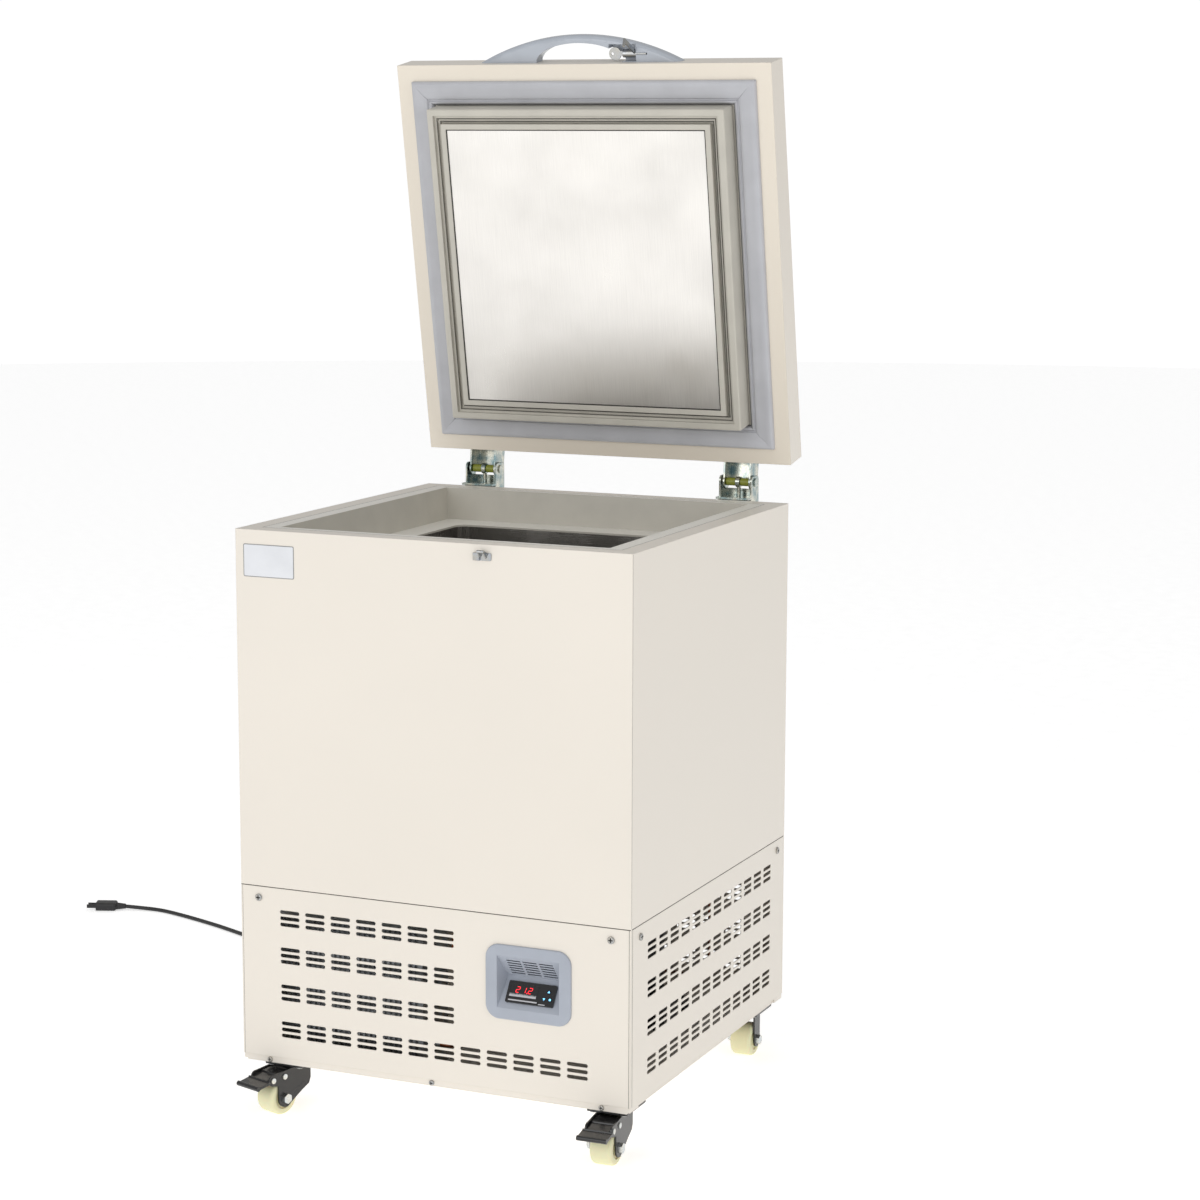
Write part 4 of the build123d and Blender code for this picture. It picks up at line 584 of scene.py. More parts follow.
def on_face(name, out):
    """A matrix standing on a node's outermost face, X across, seen along out."""
    places = [vertex.co for vertex in NODES[name].data.vertices]
    level = max(p.dot(out) for p in places)
    middle = sum(places, Vector()) / len(places)
    return standing(middle + out * (level - middle.dot(out)), ACROSS, out)


def bar(work, low, high):
    """A square-edged bar between two corners."""
    place = Matrix.Translation((low + high) / 2) @ Matrix.Diagonal((*(high - low), 1.0))
    bmesh.ops.create_cube(work, size=1.0, matrix=place)


def flat_frame(work, low, high, width):
    """Four bars round a rectangle, whose outer corners are given; width runs inwards."""
    bar(work, low, Vector((high.x, low.y + width, high.z)))
    bar(work, Vector((low.x, high.y - width, low.z)), high)
    for left in (low.x, high.x - width):
        bar(
            work, Vector((left, low.y + width, low.z)),
            Vector((left + width, high.y - width, high.z)),
        )


def islands(name):
    """Lowest and highest corners of each separate solid of a node."""
    work = bmesh.new()
    work.from_mesh(NODES[name].data)
    bmesh.ops.remove_doubles(work, verts=work.verts, dist=1e-6)
    left = set(work.verts)
    boxes = []
    while left:
        group = [left.pop()]
        places = []
        while group:
            vertex = group.pop()
            places.append(vertex.co.copy())
            for edge in vertex.link_edges:
                other = edge.other_vert(vertex)
                if other in left:
                    left.remove(other)
                    group.append(other)
        boxes.append(corners(places))
    work.free()
    return sorted(boxes, key=lambda pair: tuple(round(v, 4) for v in pair[0]))


def mitred_bars(work, low, high, profile, level, seam=0.0):
    """Four bars round a rectangle, their ends mitred; profile runs (inwards, downwards) from its outer edge.

    With a seam, each bar's ends draw in by that much, so that a fine groove shows at every corner.
    """
    around = [(low[0], low[1]), (high[0], low[1]), (high[0], high[1]), (low[0], high[1])]
    middle = sum((Vector(point) for point in profile), Vector((0.0, 0.0))) / len(profile)
    for side in range(4):
        start, end = Vector(around[side]), Vector(around[(side + 1) % 4])
        along = (end - start).normalized()
        inwards = Vector((-along.y, along.x))
        length = (end - start).length
        rings = []
        for share in ([0.0, seam, length - seam, length] if seam else [0.0, length]):
            ring = []
            drawn_in = seam and share in (0.0, length)
            for corner in profile:
                point = Vector(corner)
                if drawn_in:
                    point -= (point - middle).normalized() * seam
                low_end = point.x + min(share, seam)
                high_end = length - point.x - min(length - share, seam)
                place = start + along * min(max(share, low_end), high_end) + inwards * point.x
                ring.append(work.verts.new(LID_TURN @ Vector((place.x, place.y, level - point.y))))
            rings.append(ring)
        work.faces.new(list(reversed(rings[0])))
        work.faces.new(rings[-1])
        skin(work, rings)


def rounded_rectangle(width, height, radius, steps=6):
    """A flat outline about its middle, each corner an arc in steps."""
    points = []
    for turn, (sx, sy) in enumerate(((1, 1), (-1, 1), (-1, -1), (1, -1))):
        cx, cy = sx * (width / 2 - radius), sy * (height / 2 - radius)
        for step in range(steps + 1):
            angle = math.radians(90 * turn + 90 * step / steps)
            points.append((cx + radius * math.cos(angle), cy + radius * math.sin(angle)))
    return points


def standing(origin, across, out):
    """A matrix whose X runs across, whose Z points out and whose origin is given."""
    z = Vector(out).normalized()
    x = Vector(across).normalized()
    y = z.cross(x)
    return Matrix.Translation(origin) @ Matrix((x, y, z)).transposed().to_4x4()


# ---- Sizes and colours a user may change --------------------------------------------------------
class FreezerFinishes(bpy.types.PropertyGroup):
    """Colours of the freezer's main finishes."""

    cabinet_colour: FloatVectorProperty(
        name="Cabinet", description="Powder coat of cabinet, panels and lid", subtype="COLOR",
        default=linear(235, 228, 217)[:3], min=0, max=1,
    )
    moulding_colour: FloatVectorProperty(
        name="Mouth moulding", description="Plastic round the mouth and the lid's plug", subtype="COLOR",
        default=linear(200, 196, 185)[:3], min=0, max=1,
    )
    bezel_colour: FloatVectorProperty(
        name="Bezel and handle", description="Plastic of the control bezel and the handle", subtype="COLOR",
        default=linear(168, 174, 185)[:3], min=0, max=1,
    )
    wheel_colour: FloatVectorProperty(
        name="Wheels", description="Nylon of the caster wheels", subtype="COLOR",
        default=linear(234, 230, 190)[:3], min=0, max=1,
    )


class FreezerCord(bpy.types.PropertyGroup):
    """Sizes of the power cord."""

    diameter: FloatProperty(
        name="Diameter", description="Outside of the cord's jacket", subtype="DISTANCE", unit="LENGTH",
        default=0.0068, min=0.004, max=0.012,
    )
    coil_radius: FloatProperty(
        name="Coil radius", description="Middle of the coil's outer turn", subtype="DISTANCE", unit="LENGTH",
        default=0.0414, min=0.03, max=0.08,
    )


class FreezerLidTrim(bpy.types.PropertyGroup):
    """Sizes of the trim inside the lid."""

    plug_rim: FloatProperty(
        name="Plug rim", description="Plug's edge to the inner plate", subtype="DISTANCE", unit="LENGTH",
        default=0.0308, min=0.01, max=0.06,
    )
    gasket_seam: FloatProperty(
        name="Gasket seam", description="Half the width of the groove at each mitred corner",
        subtype="DISTANCE", unit="LENGTH", default=0.0008, min=0.0002, max=0.002,
    )


class FreezerDisplay(bpy.types.PropertyGroup):
    """The controller's lit parts."""

    digit_height: FloatProperty(
        name="Digit height", description="Height of the display's digits", subtype="DISTANCE", unit="LENGTH",
        default=0.0080, min=0.004, max=0.013,
    )
    reading: StringProperty(
        name="Reading", description="Digits shown, with a point before the last", default="212",
    )
    glow: FloatProperty(
        name="Glow", description="Strength of the lit segments", default=1.5, min=0, max=20,
    )


class FreezerStudio(bpy.types.PropertyGroup):
    """Camera and light of the studio."""

    lens: FloatProperty(
        name="Lens", description="Focal length of the studio camera", subtype="DISTANCE_CAMERA",
        default=87.39, min=20, max=200,
    )
    surround: FloatProperty(
        name="Surround", description="Light that the white surround gives", default=0.5, min=0, max=5,
    )


# ---- Operators ----------------------------------------------------------------------------------
CAMERA_PLACE = (1.77552, -3.76116, 1.3732)
CAMERA_DOWN = 9.03  # degrees that the camera looks down
CAMERA_ROUND = 23.74  # degrees that it is turned round the upright
CAMERA_LEAN = 0.16  # degrees that it leans
SENSOR_W = 36.0
SIGHT = 50.0  # how far the camera sees
SOFTBOXES = (  # name, place, what it points at, side in metres, power in watts
    ("KeySoftbox", (-0.9, -4.6, 1.9), (0.0, 0.0, 0.8), 3.0, 50.0),
    ("FillSoftbox", (4.2, -1.6, 1.9), (0.0, 0.0, 0.7), 2.0, 21.0),
    ("TopSoftbox", (0.2, -0.6, 4.2), (0.0, 0.0, 0.5), 2.6, 10.0),
)
BACKDROP = 1.02  # brightness of the surround where the camera sees it
FLOOR_R = 14.0
FLOOR_GLOW = 0.48
WHITE = (1.0, 1.0, 1.0, 1.0)


class FREEZER_OT_studio(bpy.types.Operator):
    """Adds the camera, the lights, the pale floor and the white surround"""

    bl_idname = "freezer.studio"
    bl_label = "Studio"

    def stand_camera(self, scene):
        optics = bpy.data.cameras.new("StudioCamera")
        optics.lens = scene.freezer_studio.lens
        optics.sensor_width = SENSOR_W
        optics.clip_end = SIGHT
        camera = bpy.data.objects.new("StudioCamera", optics)
        scene.collection.objects.link(camera)
        level = Euler((math.radians(90 - CAMERA_DOWN), 0.0, math.radians(CAMERA_ROUND))).to_matrix()
        turned = level @ Matrix.Rotation(math.radians(CAMERA_LEAN), 3, "Z")
        camera.matrix_world = Matrix.Translation(CAMERA_PLACE) @ turned.to_4x4()
        scene.camera = camera
        scene.view_settings.view_transform = "Standard"

    def surround(self, scene):
        world = bpy.data.worlds.new("Surround")
        world.use_nodes = True
        tree = world.node_tree
        backdrop = tree.nodes["Background"]
        backdrop.inputs["Color"].default_value = WHITE
        seen = add(tree, "ShaderNodeLightPath").outputs["Is Camera Ray"]
        strength = spread(tree, seen, scene.freezer_studio.surround, BACKDROP)
        tree.links.new(strength, backdrop.inputs["Strength"])
        scene.world = world

    def hang_softboxes(self, scene):
        for name, place, target, side, power in SOFTBOXES:
            light = bpy.data.lights.new(name, "AREA")
            light.shape = "SQUARE"
            light.size = side
            light.energy = power
            softbox = bpy.data.objects.new(name, light)
            scene.collection.objects.link(softbox)
            softbox.location = place
            way = Vector(target) - Vector(place)
            softbox.rotation_euler = way.to_track_quat("-Z", "Y").to_euler()

    def lay_floor(self, scene):
        def disc(work):
            bmesh.ops.create_circle(work, cap_ends=True, segments=96, radius=FLOOR_R)

        floor = bpy.data.objects.new("StudioFloor", mesh_from("StudioFloor", disc))
        scene.collection.objects.link(floor)
        inputs = {"Colour": linear(253, 253, 253), "Roughness": 0.9, "Grain Size": 0.01, "Gloss Spread": 0.05}
        glow = {"Emission_Color": WHITE, "Emission_Strength": FLOOR_GLOW}
        floor.data.materials.append(finish("Pale Floor", "moulded", inputs, **glow))

    def execute(self, context):
        self.stand_camera(context.scene)
        self.surround(context.scene)
        self.hang_softboxes(context.scene)
        self.lay_floor(context.scene)
        return {"FINISHED"}


CORD_LEAD = [  # from the gland down to the floor and to the coil
    (-0.200, 0.330, 0.152),
    (-0.200, 0.352, 0.152),
    (-0.201, 0.377, 0.142),
    (-0.203, 0.394, 0.120),
    (-0.205, 0.402, 0.090),
    (-0.208, 0.407, 0.060),
    (-0.215, 0.410, 0.032),
    (-0.231, 0.412, 0.012),
    (-0.258, 0.408, 0.0034),
    (-0.298, 0.403, 0.0034),
    (-0.336, 0.400, 0.0034),
]
CORD_TAIL = [  # from the coil over the floor to the plug
    (-0.388, 0.3992, 0.0098),
    (-0.410, 0.401, 0.0062),
    (-0.442, 0.404, 0.0034),
    (-0.484, 0.413, 0.0034),
    (-0.552, 0.426, 0.0034),
    (-0.628, 0.434, 0.0034),
    (-0.702, 0.454, 0.0034),
    (-0.772, 0.484, 0.0034),
    (-0.832, 0.511, 0.0034),
    (-0.888, 0.532, 0.0034),
    (-0.938, 0.549, 0.0034),
    (-0.982, 0.561, 0.0034),
    (-1.020, 0.558, 0.0040),
    (-1.048, 0.547, 0.0065),
]
COIL_MIDDLE = (-0.370, 0.440)
COIL_START = -82.0  # degrees
COIL_STEPS = 15  # points in a turn
COIL_TURNS = 4
COIL_EASE = 1.02  # turns lie this much wider than if they touched
LAYER_EASE = 1.04  # and this much higher, one on top of another
CLIMB = 5  # layers climbed in a turn, where the cord steps up to the upper turns


class FREEZER_OT_cord(bpy.types.Operator):
    """Lays the power cord from its gland over the floor, through its coil, to the plug"""

    bl_idname = "freezer.cord"
    bl_label = "Power Cord"

    def coil(self, settings):
        """Two turns winding inwards on the floor and two winding out on top of them."""
        wide = settings.diameter
        points = []
        for step in range(COIL_STEPS * COIL_TURNS + 1):
            turn = step / COIL_STEPS
            inwards = min(turn, COIL_TURNS - turn)
            radius = settings.coil_radius * COIL_EASE - wide * COIL_EASE * inwards
            climb = min(max((turn - COIL_TURNS / 2) * CLIMB + 0.5, 0.0), 1.0)
            height = wide / 2 + wide * LAYER_EASE * climb
            angle = math.radians(COIL_START - 360 * turn)
            x = COIL_MIDDLE[0] + radius * math.cos(angle)
            y = COIL_MIDDLE[1] + radius * math.sin(angle)
            points.append((x, y, height))
        return points

    def execute(self, context):
        settings = context.scene.freezer_cord
        route = CORD_LEAD + self.coil(settings) + CORD_TAIL
        curve = bpy.data.curves.new("PowerCord", "CURVE")
        curve.dimensions = "3D"
        curve.bevel_depth = settings.diameter / 2
        curve.bevel_resolution = 5
        curve.resolution_u = 6
        spline = curve.splines.new("NURBS")
        spline.points.add(len(route) - 1)
        for point, place in zip(spline.points, route):
            point.co = (*place, 1.0)
        spline.order_u = 3
        spline.use_endpoint_u = True
        curve.use_fill_caps = True
        curve.materials.append(cord_jacket())
        cord = bpy.data.objects.new("PowerCord", curve)
        context.scene.collection.objects.link(cord)
        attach(cord, "cabinet")
        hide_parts("power_cord", "cord_coil")
        return {"FINISHED"}


class FREEZER_OT_sheet_metal(bpy.types.Operator):
    """Paints the cabinet, base panels and lid, and finishes their steel and screws"""

    bl_idname = "freezer.sheet_metal"
    bl_label = "Sheet Metal"

    def execute(self, context):
        paint = cabinet_paint()
        dress(
            [
                ("cabinet_shell base_chassis", paint, "cabinet_paint"),
                ("front_panel right_panel left_panel rear_panel", paint, "cabinet_paint"),
                ("lid_shell", lid_coat_painted_shade(), "cabinet_paint"),
                ("base_screws hinge_screws lid_screws", screw_steel(), "screw_zinc"),
                ("floor_pan fan_shroud", galvanised(), "galvanised"),
                ("hinge_brackets hinge_pins hinge_leaves", hinge_zinc(), "hinge_zinc"),
                ("hinge_rollers", roller_nylon(), "roller_nylon"),
                ("lock_strike lock_key", chrome(), "chrome"),
            ]
        )
        return {"FINISHED"}


class FREEZER_OT_cold_space(bpy.types.Operator):
    """Finishes the mouth, the tank, the lid's plug and the cooling parts in the base"""

    bl_idname = "freezer.cold_space"
    bl_label = "Cold Space"

    def execute(self, context):
        dress(
            [
                ("mouth_frame", mouth_moulding(), "mouth_moulding"),
                ("lid_plug_frame", moulding(), "plug_moulding"),
                ("tank_liner", stainless(), "stainless"),
                ("lid_inner_plate", lid_stainless(), "stainless"),
                ("cabinet_insulation lid_insulation", foam(), "foam"),
                ("evaporator_coil refrigerant_lines", copper(), "copper_tube"),
                ("compressor", black_enamel(), "compressor_paint"),
                ("fan_motor", black_enamel(), "dark_zinc"),
                ("compressor_feet", cord_jacket(), "rubber"),
                ("condenser fan_blades", fins(), "aluminium_fins"),
            ]
        )
        return {"FINISHED"}


GASKET_PROFILE = (  # inwards and downwards from the gasket's outer edge
    (0.0, 0.0), (0.0, 0.0040), (0.0012, 0.0064), (0.0040, 0.0082), (0.0100, 0.0091), (0.0200, 0.0088),
    (0.0252, 0.0074), (0.0266, 0.0052), (0.0282, 0.0052), (0.0296, 0.0070), (0.0318, 0.0066),
    (0.0334, 0.0044), (0.0340, 0.0),
)
GAP_SHADE_INSET = 0.0345
GAP_SHADE_PROFILE = ((0.0, 0.0), (0.0, 0.0008), (0.0012, 0.0008), (0.0012, 0.0))
BEAD_R = 0.0007
PLUG_BEADS = ((0.0138, 0.0046), (0.0182, 0.0076))  # inwards from the plug's rim, up from its face
PLATE_CORNER = 0.003
PLATE_EASE = 0.0006  # how far the plate's edge is eased
SEALANT_PROFILE = ((0.0, 0.0), (0.0, 0.0009), (0.0006, 0.0013), (0.0014, 0.0012), (0.0019, 0.0))
SEALANT_LAP = 0.0009  # the sealant starts this far outside the plate
BRUSHED_ABOUT = (0.0, -1000.0, 0.0)  # a far point, which keeps the plate's blurred reflections level
SUNK = 0.0001  # how far laid strips and marks sink into what they lie on


class FREEZER_OT_lid_trim(bpy.types.Operator):
    """Makes the lid's gasket, a dark strip of painted shade in the gap inside it, dark beads of painted shade
    in the plug's groove, the inner plate and the sealant round it
    """

    bl_idname = "freezer.lid_trim"
    bl_label = "Lid Trim"

    def lay_gasket(self, trim):
        low, high = closed_box("lid_gasket")
        inset = Vector((GAP_SHADE_INSET, GAP_SHADE_INSET, 0.0))

        def gasket(work):
            mitred_bars(work, low, high, GASKET_PROFILE, high.z, seam=trim.gasket_seam)

        # A dark strip of painted shade in the gap inside the gasket.
        def gap_shade(work):
            mitred_bars(work, low + inset, high - inset, GAP_SHADE_PROFILE, high.z - SUNK)

        made = piece("LidGasket", gasket, [soft_gasket()], "lid", smooth=35)
        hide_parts("lid_gasket")
        piece("GasketGapShade", gap_shade, [gap_painted_shade()], "lid")

    def run_beads(self, trim):
        face = closed_box("lid_plug_frame")[0].z
        low, high = closed_box("lid_inner_plate")
        turns = [math.radians(turn) for turn in range(0, 360, 45)]
        bead = [(BEAD_R * (1 + math.cos(turn)), BEAD_R * math.sin(turn)) for turn in turns]

        # The beads are painted shade: dark round strips that darken the plug's groove lines.
        def beads(work):
            for inwards, up in PLUG_BEADS:
                step = Vector((trim.plug_rim - inwards, trim.plug_rim - inwards, 0.0))
                mitred_bars(work, low - step, high + step, bead, face + up)

        piece("PlugGrooveShade", beads, [groove_shadow()], "lid", smooth=60)

    def fit_plate(self):
        low, high = closed_box("lid_inner_plate")
        middle, size = (low + high) / 2, high - low
        place = LID_TURN @ Matrix.Translation((middle.x, middle.y, 0.0))
        eased = size - Vector((2 * PLATE_EASE, 2 * PLATE_EASE, 0.0))
        lap = Vector((SEALANT_LAP, SEALANT_LAP, 0.0))

        def sheet(work):
            outer = rounded_rectangle(size.x, size.y, PLATE_CORNER)
            inner = rounded_rectangle(eased.x, eased.y, PLATE_CORNER - PLATE_EASE)
            rings = []
            for outline, level in ((outer, high.z), (outer, low.z + PLATE_EASE), (inner, low.z)):
                rings.append([work.verts.new(place @ Vector((x, y, level))) for x, y in outline])
            work.faces.new(rings[0])
            work.faces.new(rings[-1])
            skin(work, rings)

        def seal(work):
            mitred_bars(work, low - lap, high + lap, SEALANT_PROFILE, low.z + SUNK)

        made = piece("InnerPlate", sheet, [lid_stainless()], "lid")
        made.data.use_auto_texspace = False
        made.data.texspace_location = BRUSHED_ABOUT
        made.data.texspace_size = (1.0, 1.0, 1.0)
        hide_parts("lid_inner_plate")
        piece("PlateSealant", seal, [sealant()], "lid", smooth=60)

    def execute(self, context):
        trim = context.scene.freezer_lid_trim
        self.lay_gasket(trim)
        self.run_beads(trim)
        self.fit_plate()
        return {"FINISHED"}


CORNER_SEAM = (0.0013, 0.0019)  # behind the cabinet's front
CORNER_SEAM_SHORT = (0.001, 0.0008)  # short of the shell's lower edge, and of its top
CORNER_SEAM_SUNK = 0.0004
CORNER_SEAM_PROUD = 0.00004
MOUTH_JOINT_W = 0.0009
MOUTH_JOINT_LAP = 0.0004  # outside the mouth's frame
MOUTH_JOINT_SUNK = 0.0004
MOUTH_JOINT_PROUD = 0.00005
PANEL_SEAM_W = 0.0005
PANEL_SEAM_DEEP = (0.00025, 0.0008)  # behind the panel's face
PANEL_SEAM_ABOVE = (0.0001, 0.0011)  # above the panel's top
PANEL_SEAM_PAST = 0.0024  # the upper seam runs this far past the panel's ends


class FREEZER_OT_seams(bpy.types.Operator):
    """Makes dark strips of painted shade in the seams at the shell's corners, round the mouth and between the
    panels
    """

    bl_idname = "freezer.seams"
    bl_label = "Seams"

    def execute(self, context):
        def corner_seams(work):
            low, high = box("cabinet_shell")
            front, back = (low.y + depth for depth in CORNER_SEAM)
            bottom, top = low.z + CORNER_SEAM_SHORT[0], high.z - CORNER_SEAM_SHORT[1]
            for left, right in (
                (low.x - CORNER_SEAM_PROUD, low.x + CORNER_SEAM_SUNK),
                (high.x - CORNER_SEAM_SUNK, high.x + CORNER_SEAM_PROUD),
            ):
                bar(work, Vector((left, front, bottom)), Vector((right, back, top)))

        # Painted shade: a dark strip round the mouth frame's edge, where shade falls in the joint.
        def mouth_joint(work):
            low, high = box("mouth_frame")
            low.z = high.z - MOUTH_JOINT_SUNK
            high.z += MOUTH_JOINT_PROUD
            lap = Vector((MOUTH_JOINT_LAP, MOUTH_JOINT_LAP, 0.0))
            flat_frame(work, low - lap, high + lap, MOUTH_JOINT_W)

        def panel_seams(work):
            for side in ("front", "right", "rear", "left"):
                low, high = box(f"{side}_panel")
                thin = 1 if side in ("front", "rear") else 0
                wide = 1 - thin
                shallow, deep = PANEL_SEAM_DEEP
                depths = (low[thin] + shallow, low[thin] + deep)
                if low[thin] > 0:
                    depths = (high[thin] - deep, high[thin] - shallow)
                above = [high.z + rise for rise in PANEL_SEAM_ABOVE]
                for ends, heights in (
                    ((low[wide] - PANEL_SEAM_W, low[wide]), (low.z, high.z)),
                    ((high[wide], high[wide] + PANEL_SEAM_W), (low.z, high.z)),
                    ((low[wide] - PANEL_SEAM_PAST, high[wide] + PANEL_SEAM_PAST), above),
                ):
                    start, end = Vector((0, 0, heights[0])), Vector((0, 0, heights[1]))
                    start[wide], end[wide] = ends
                    start[thin], end[thin] = depths
                    bar(work, start, end)

        piece("CornerSeams", corner_seams, [seam_painted_shade()], "cabinet")
        piece("MouthJointShade", mouth_joint, [groove_shadow()], "cabinet")
        piece("PanelSeams", panel_seams, [seam_painted_shade()], "cabinet")
        return {"FINISHED"}


HEAD_NEAR = 0.004  # a head stands on a wall that it is this near to
HEAD_SIZE = 0.006  # a head is wider than this, and less thick
CROSS_DEEP = 0.0011  # the cross's face behind the head's top
CROSS_T = 0.0005
CROSS_REACH = 0.3  # the cross's arms, as shares of the head's width
CROSS_HALF = 0.078
PLATE_PLACE = (-0.247, 0.793)  # middle of the blank plate, across and up the front
PLATE_LAYERS = (  # width, height and corner; from and to above the paint; which of its materials
    ((0.0800, 0.0460, 0.0025), 0.0, 0.0003, 1),
    ((0.0776, 0.0436, 0.0018), 0.0002, 0.00042, 0),
)


def cross(reach, half):
    """A flat cross's outline, one arm turned by quarters."""
    outline = []
    arm = [(reach, -half), (reach, half), (half, half)]
    for _ in range(4):
        outline += arm
        arm = [(-y, x) for x, y in arm]
    return outline


class FREEZER_OT_details(bpy.types.Operator):
    """Makes dark crosses of painted shade in the screws' recesses, and the blank plate on the cabinet's front
    """

    bl_idname = "freezer.details"
    bl_label = "Screw Crosses and Blank Plate"

    def execute(self, context):
        low, high = box("cabinet_shell")
        walls = (  # axis, place along it, way out, way across
            (1, low.y, FORWARD, ACROSS), (1, high.y, -FORWARD, -ACROSS),
            (0, high.x, ACROSS, -FORWARD), (0, low.x, -ACROSS, FORWARD),
        )

        # The crosses are painted shade: flat near-black crosses sunk in the screws' recesses.
        def crosses(work):
            for head_low, head_high in islands("base_screws"):
                size = head_high - head_low
                for axis, wall, out, across in walls:
                    away = min(abs(head_low[axis] - wall), abs(head_high[axis] - wall))
                    if away < HEAD_NEAR and size[axis] < HEAD_SIZE < size.z:
                        middle = (head_low + head_high) / 2
                        top = head_high[axis] if out[axis] > 0 else head_low[axis]
                        middle[axis] = top - out[axis] * CROSS_DEEP
                        outline = cross(size.z * CROSS_REACH, size.z * CROSS_HALF)
                        prism(work, outline, -CROSS_T, 0.0, standing(middle, across, out))

        def plate(work):
            place = standing((PLATE_PLACE[0], low.y, PLATE_PLACE[1]), ACROSS, FORWARD)
            for shape, bottom, top, material in PLATE_LAYERS:
                prism(work, rounded_rectangle(*shape), bottom, top, place, material)

        piece("ScrewCrossShade", crosses, [recess_painted_shade()], "cabinet")
        piece("BlankPlate", plate, [bare_plate(), plate_border()], "cabinet")
        return {"FINISHED"}


DIGIT_PITCH = 1.15  # pitch, width, stroke and half the point, as shares of the digits' height
DIGIT_WIDTH = 0.6
DIGIT_STROKE = 0.105
DIGIT_POINT = 0.08
POINT_ROUND = 0.9  # its corners, as a share of half its width
DIGIT_LEAN = 8.0  # degrees
LIT_RED = linear(255, 40, 52)
LIT_BLUE = linear(120, 200, 255)
MARK_LEVELS = (-SUNK, 0.00012)  # bottom and top of lit marks, from the face that they lie on
STRIP_CORNER = 0.0004
STRIP_T = 0.0003
PRINTED_STRIPS = (  # middle and size of each printed strip on the controller, from the display's middle
    ((-0.0005, -0.0080), (0.0400, 0.0042)),
    ((0.0010, -0.0152), (0.0430, 0.0018)),
    ((0.0300, -0.0171), (0.0100, 0.0012)),
)
ARROW = ((-0.0019, -0.0012), (0.0019, -0.0012), (0.0, 0.0019))
SPOT = rounded_rectangle(0.0032, 0.0032, 0.0015, 4)
KEY_MARKS = (  # key, its body, its mark, and the piece's name
    ("key_up", "up_key", ARROW, "LitKeyUp"),
    ("key_down", "down_key", [(x, -y) for x, y in reversed(ARROW)], "LitKeyDown"),
    ("key_set", "set_key", SPOT, "LitKeySet"),
)
SEGMENTS = {  # lit segments: top, top right, bottom right, bottom, bottom left, top left, middle
    "0": "abcdef", "1": "bc", "2": "abged", "3": "abgcd", "4": "fgbc",
    "5": "afgcd", "6": "afgedc", "7": "abc", "8": "abcdefg", "9": "abcdfg",
}


def digit_outlines(number, height, width, stroke):
    """Outlines of one seven-segment digit's lit bars, leaning a little."""
    half_w, half_h, gap = width / 2, height / 2, stroke * 0.12
    spots = {
        "a": ((-half_w, half_h), (half_w, half_h)), "b": ((half_w, half_h), (half_w, 0)),
        "c": ((half_w, 0), (half_w, -half_h)), "d": ((-half_w, -half_h), (half_w, -half_h)),
        "e": ((-half_w, 0), (-half_w, -half_h)), "f": ((-half_w, half_h), (-half_w, 0)),
        "g": ((-half_w, 0), (half_w, 0)),
    }
    lean = math.tan(math.radians(DIGIT_LEAN))
    outlines = []
    for letter in SEGMENTS[number]:
        start, end = Vector(spots[letter][0]), Vector(spots[letter][1])
        way = (end - start).normalized()
        side = Vector((-way.y, way.x)) * stroke / 2
        start, end = start + way * gap, end - way * gap
        tip = way * stroke / 2
        ring = [start, start + tip - side, end - tip - side, end, end - tip + side, start + tip + side]
        outlines.append([(p.x + p.y * lean, p.y) for p in ring])
    return outlines


class FREEZER_OT_display(bpy.types.Operator):
    """Lights the controller's digits and key symbols, and adds its printed strips"""

    bl_idname = "freezer.display"
    bl_label = "Display"

    def execute(self, context):
        settings = context.scene.freezer_display
        out = -Vector(JOINTS["key_set_press"]["axis"])
        window = on_face("display_window", out)
        tall, count = settings.digit_height, len(settings.reading)

        def digits(work):
            pitch = tall * DIGIT_PITCH
            for number, letter in enumerate(settings.reading):
                shift = (number - (count - 1) / 2) * pitch
                for outline in digit_outlines(letter, tall, tall * DIGIT_WIDTH, tall * DIGIT_STROKE):
                    prism(work, shifted(outline, shift, 0.0), *MARK_LEVELS, window)
            half = tall * DIGIT_POINT
            point = rounded_rectangle(half * 2, half * 2, half * POINT_ROUND, 3)
            prism(work, shifted(point, (count / 2 - 1) * pitch, -tall / 2), *MARK_LEVELS, window)

        def strips(work):
            for (x, y), (width, height) in PRINTED_STRIPS:
                outline = rounded_rectangle(width, height, STRIP_CORNER, 2)
                prism(work, shifted(outline, x, y), -STRIP_T, 0.0, window)

        piece("DisplayDigits", digits, [lit("Lit Red", LIT_RED)], "cabinet")
        piece("ControllerStrips", strips, [silver_print()], "cabinet")
        for node, body, outline, name in KEY_MARKS:
            place = on_face(node, out)

            def mark(work):
                prism(work, outline, *MARK_LEVELS, place)

            piece(name, mark, [lit("Lit Blue", LIT_BLUE)], body)
        return {"FINISHED"}


VENT_WALL_TOP = (0.003, 0.0395)  # the bezel's sloping wall: behind its face, and above its middle
VENT_WALL_FOOT = 0.0035  # and its foot, above the middle
# A dark sheet of painted shade lies behind the vent's slots, placed by these.
SHADE_SHEET_RUN = (0.009, 0.042)  # down the wall
SHADE_SHEET_RISE = (0.0003, 0.0009)  # off the wall's back
SHADE_SHEET_HALF = 0.040


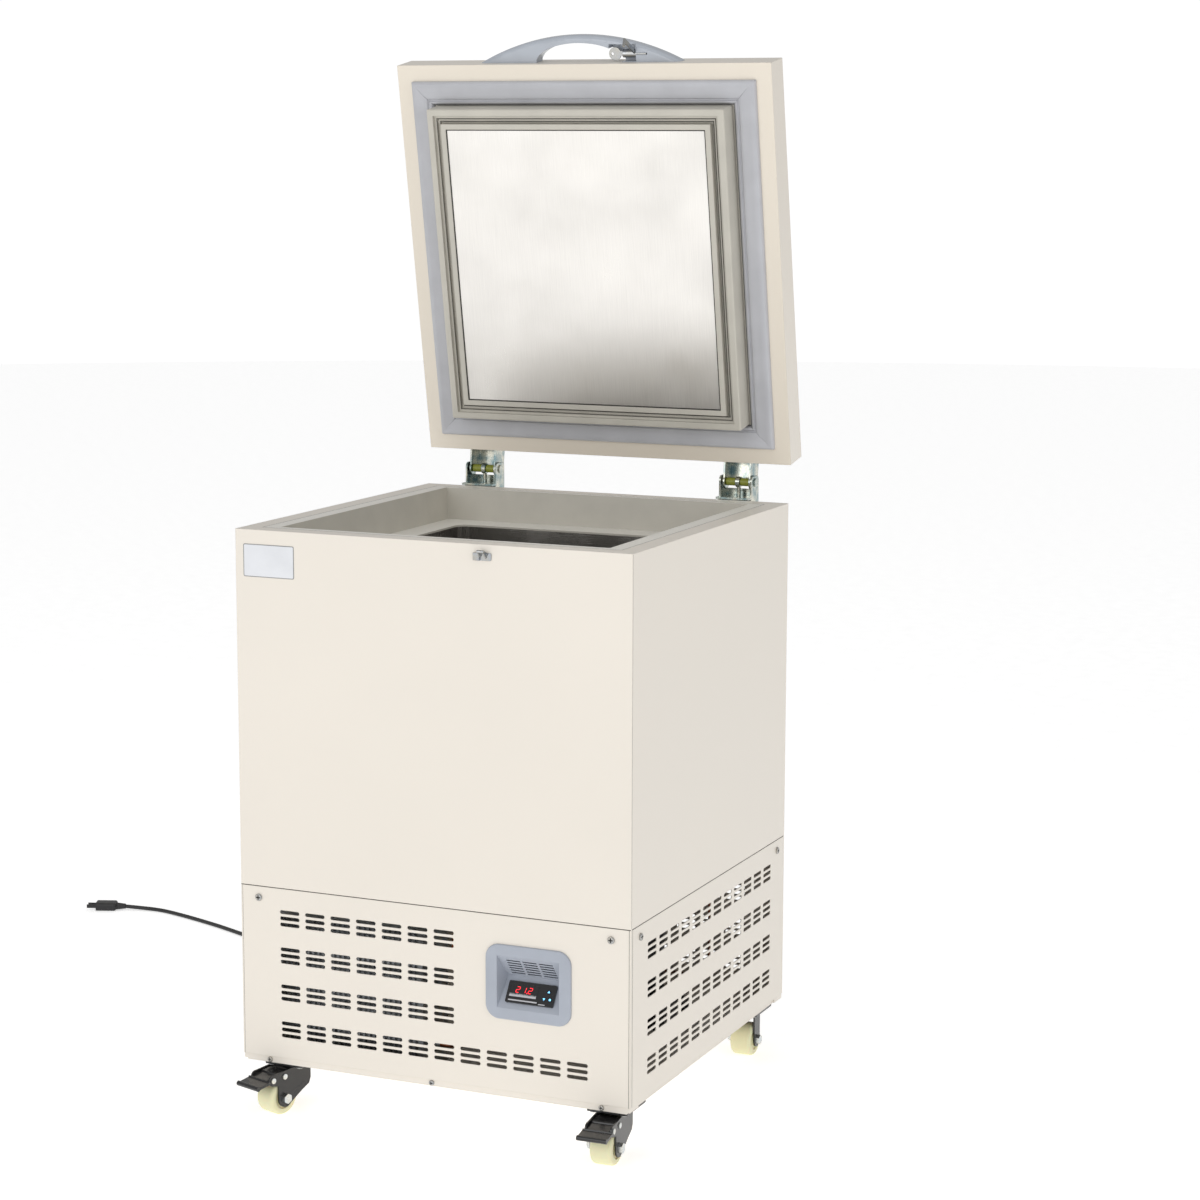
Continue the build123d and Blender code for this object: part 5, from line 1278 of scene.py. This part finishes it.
class FREEZER_OT_controls(bpy.types.Operator):
    """Finishes the bezel, handle, controller, gland and plug, and puts a dark sheet of painted shade behind
    the bezel's vent
    """

    bl_idname = "freezer.controls"
    bl_label = "Controls"

    def execute(self, context):
        dress(
            [
                ("control_bezel", bezel_plastic(), "bezel_plastic"),
                ("lid_handle", handle_plastic(), "handle_plastic"),
                ("controller_case", controller_plastic(), "black_plastic"),
                ("display_window", controller_plastic(), "display"),
                ("key_set key_up key_down", controller_plastic(), "key_plastic"),
                ("cable_gland", cord_jacket(), "black_plastic"),
                ("power_plug", cord_jacket(), "cord_rubber"),
            ]
        )
        low, high = box("control_bezel")
        middle = (low + high) / 2
        top = Vector((low.y + VENT_WALL_TOP[0], middle.z + VENT_WALL_TOP[1]))
        down = (Vector((high.y, middle.z + VENT_WALL_FOOT)) - top).normalized()
        off = Vector((-down.y, down.x))
        near, far = (top + down * run for run in SHADE_SHEET_RUN)
        under, over = (off * rise for rise in SHADE_SHEET_RISE)
        sideways = Matrix(((0, 0, 1, middle.x), (1, 0, 0, 0), (0, 1, 0, 0), (0, 0, 0, 1)))

        # A dark sheet of painted shade behind the vent's slots.
        def shade_sheet(work):
            outline = (near + under, far + under, far + over, near + over)
            prism(work, outline, -SHADE_SHEET_HALF, SHADE_SHEET_HALF, sideways)

        piece("VentShadeSheet", shade_sheet, [recess_painted_shade()], "cabinet")
        return {"FINISHED"}


class FREEZER_OT_casters(bpy.types.Operator):
    """Finishes the casters, two on braked swivels in front and two fixed ones behind"""

    bl_idname = "freezer.casters"
    bl_label = "Casters"

    def execute(self, context):
        dress([("caster_plates brake_pedal_fl brake_pedal_fr", caster_black(), "caster_black")])
        for corner in ("fl", "fr", "br", "bl"):
            dress(
                [
                    (f"caster_fork_{corner}", caster_black(), "caster_black"),
                    (f"caster_wheel_{corner}", wheel_nylon(), "wheel_nylon"),
                    (f"caster_axle_{corner}", bolt_zinc(), "screw_zinc"),
                ]
            )
        return {"FINISHED"}


class FREEZER_PT_panel(bpy.types.Panel):
    """Lists the freezer's finishes, sizes and steps"""

    bl_idname = "FREEZER_PT_panel"
    bl_label = "Freezer"
    bl_space_type = "VIEW_3D"
    bl_region_type = "UI"
    bl_category = "Freezer"

    def draw(self, context):
        for name, kind in PROPERTIES:
            group = self.layout.box()
            group.label(text=kind.__doc__)
            for prop in kind.__annotations__:
                group.prop(getattr(context.scene, name), prop)
        for operator in OPERATORS:
            self.layout.operator(operator.bl_idname)


PROPERTIES = (
    ("freezer_finishes", FreezerFinishes),
    ("freezer_cord", FreezerCord),
    ("freezer_lid_trim", FreezerLidTrim),
    ("freezer_display", FreezerDisplay),
    ("freezer_studio", FreezerStudio),
)
OPERATORS = (
    FREEZER_OT_studio,
    FREEZER_OT_cord,
    FREEZER_OT_sheet_metal,
    FREEZER_OT_cold_space,
    FREEZER_OT_lid_trim,
    FREEZER_OT_seams,
    FREEZER_OT_details,
    FREEZER_OT_controls,
    FREEZER_OT_display,
    FREEZER_OT_casters,
)


def register():
    for name, kind in PROPERTIES:
        bpy.utils.register_class(kind)
        setattr(bpy.types.Scene, name, PointerProperty(type=kind))
    for kind in (*OPERATORS, FREEZER_PT_panel):
        bpy.utils.register_class(kind)


def unregister():
    for kind in (FREEZER_PT_panel, *reversed(OPERATORS)):
        bpy.utils.unregister_class(kind)
    for name, kind in reversed(PROPERTIES):
        delattr(bpy.types.Scene, name)
        bpy.utils.unregister_class(kind)


def main():
    register()
    for operator in OPERATORS:
        family, step = operator.bl_idname.split(".")
        getattr(getattr(bpy.ops, family), step)()


if __name__ == "__main__":
    main()
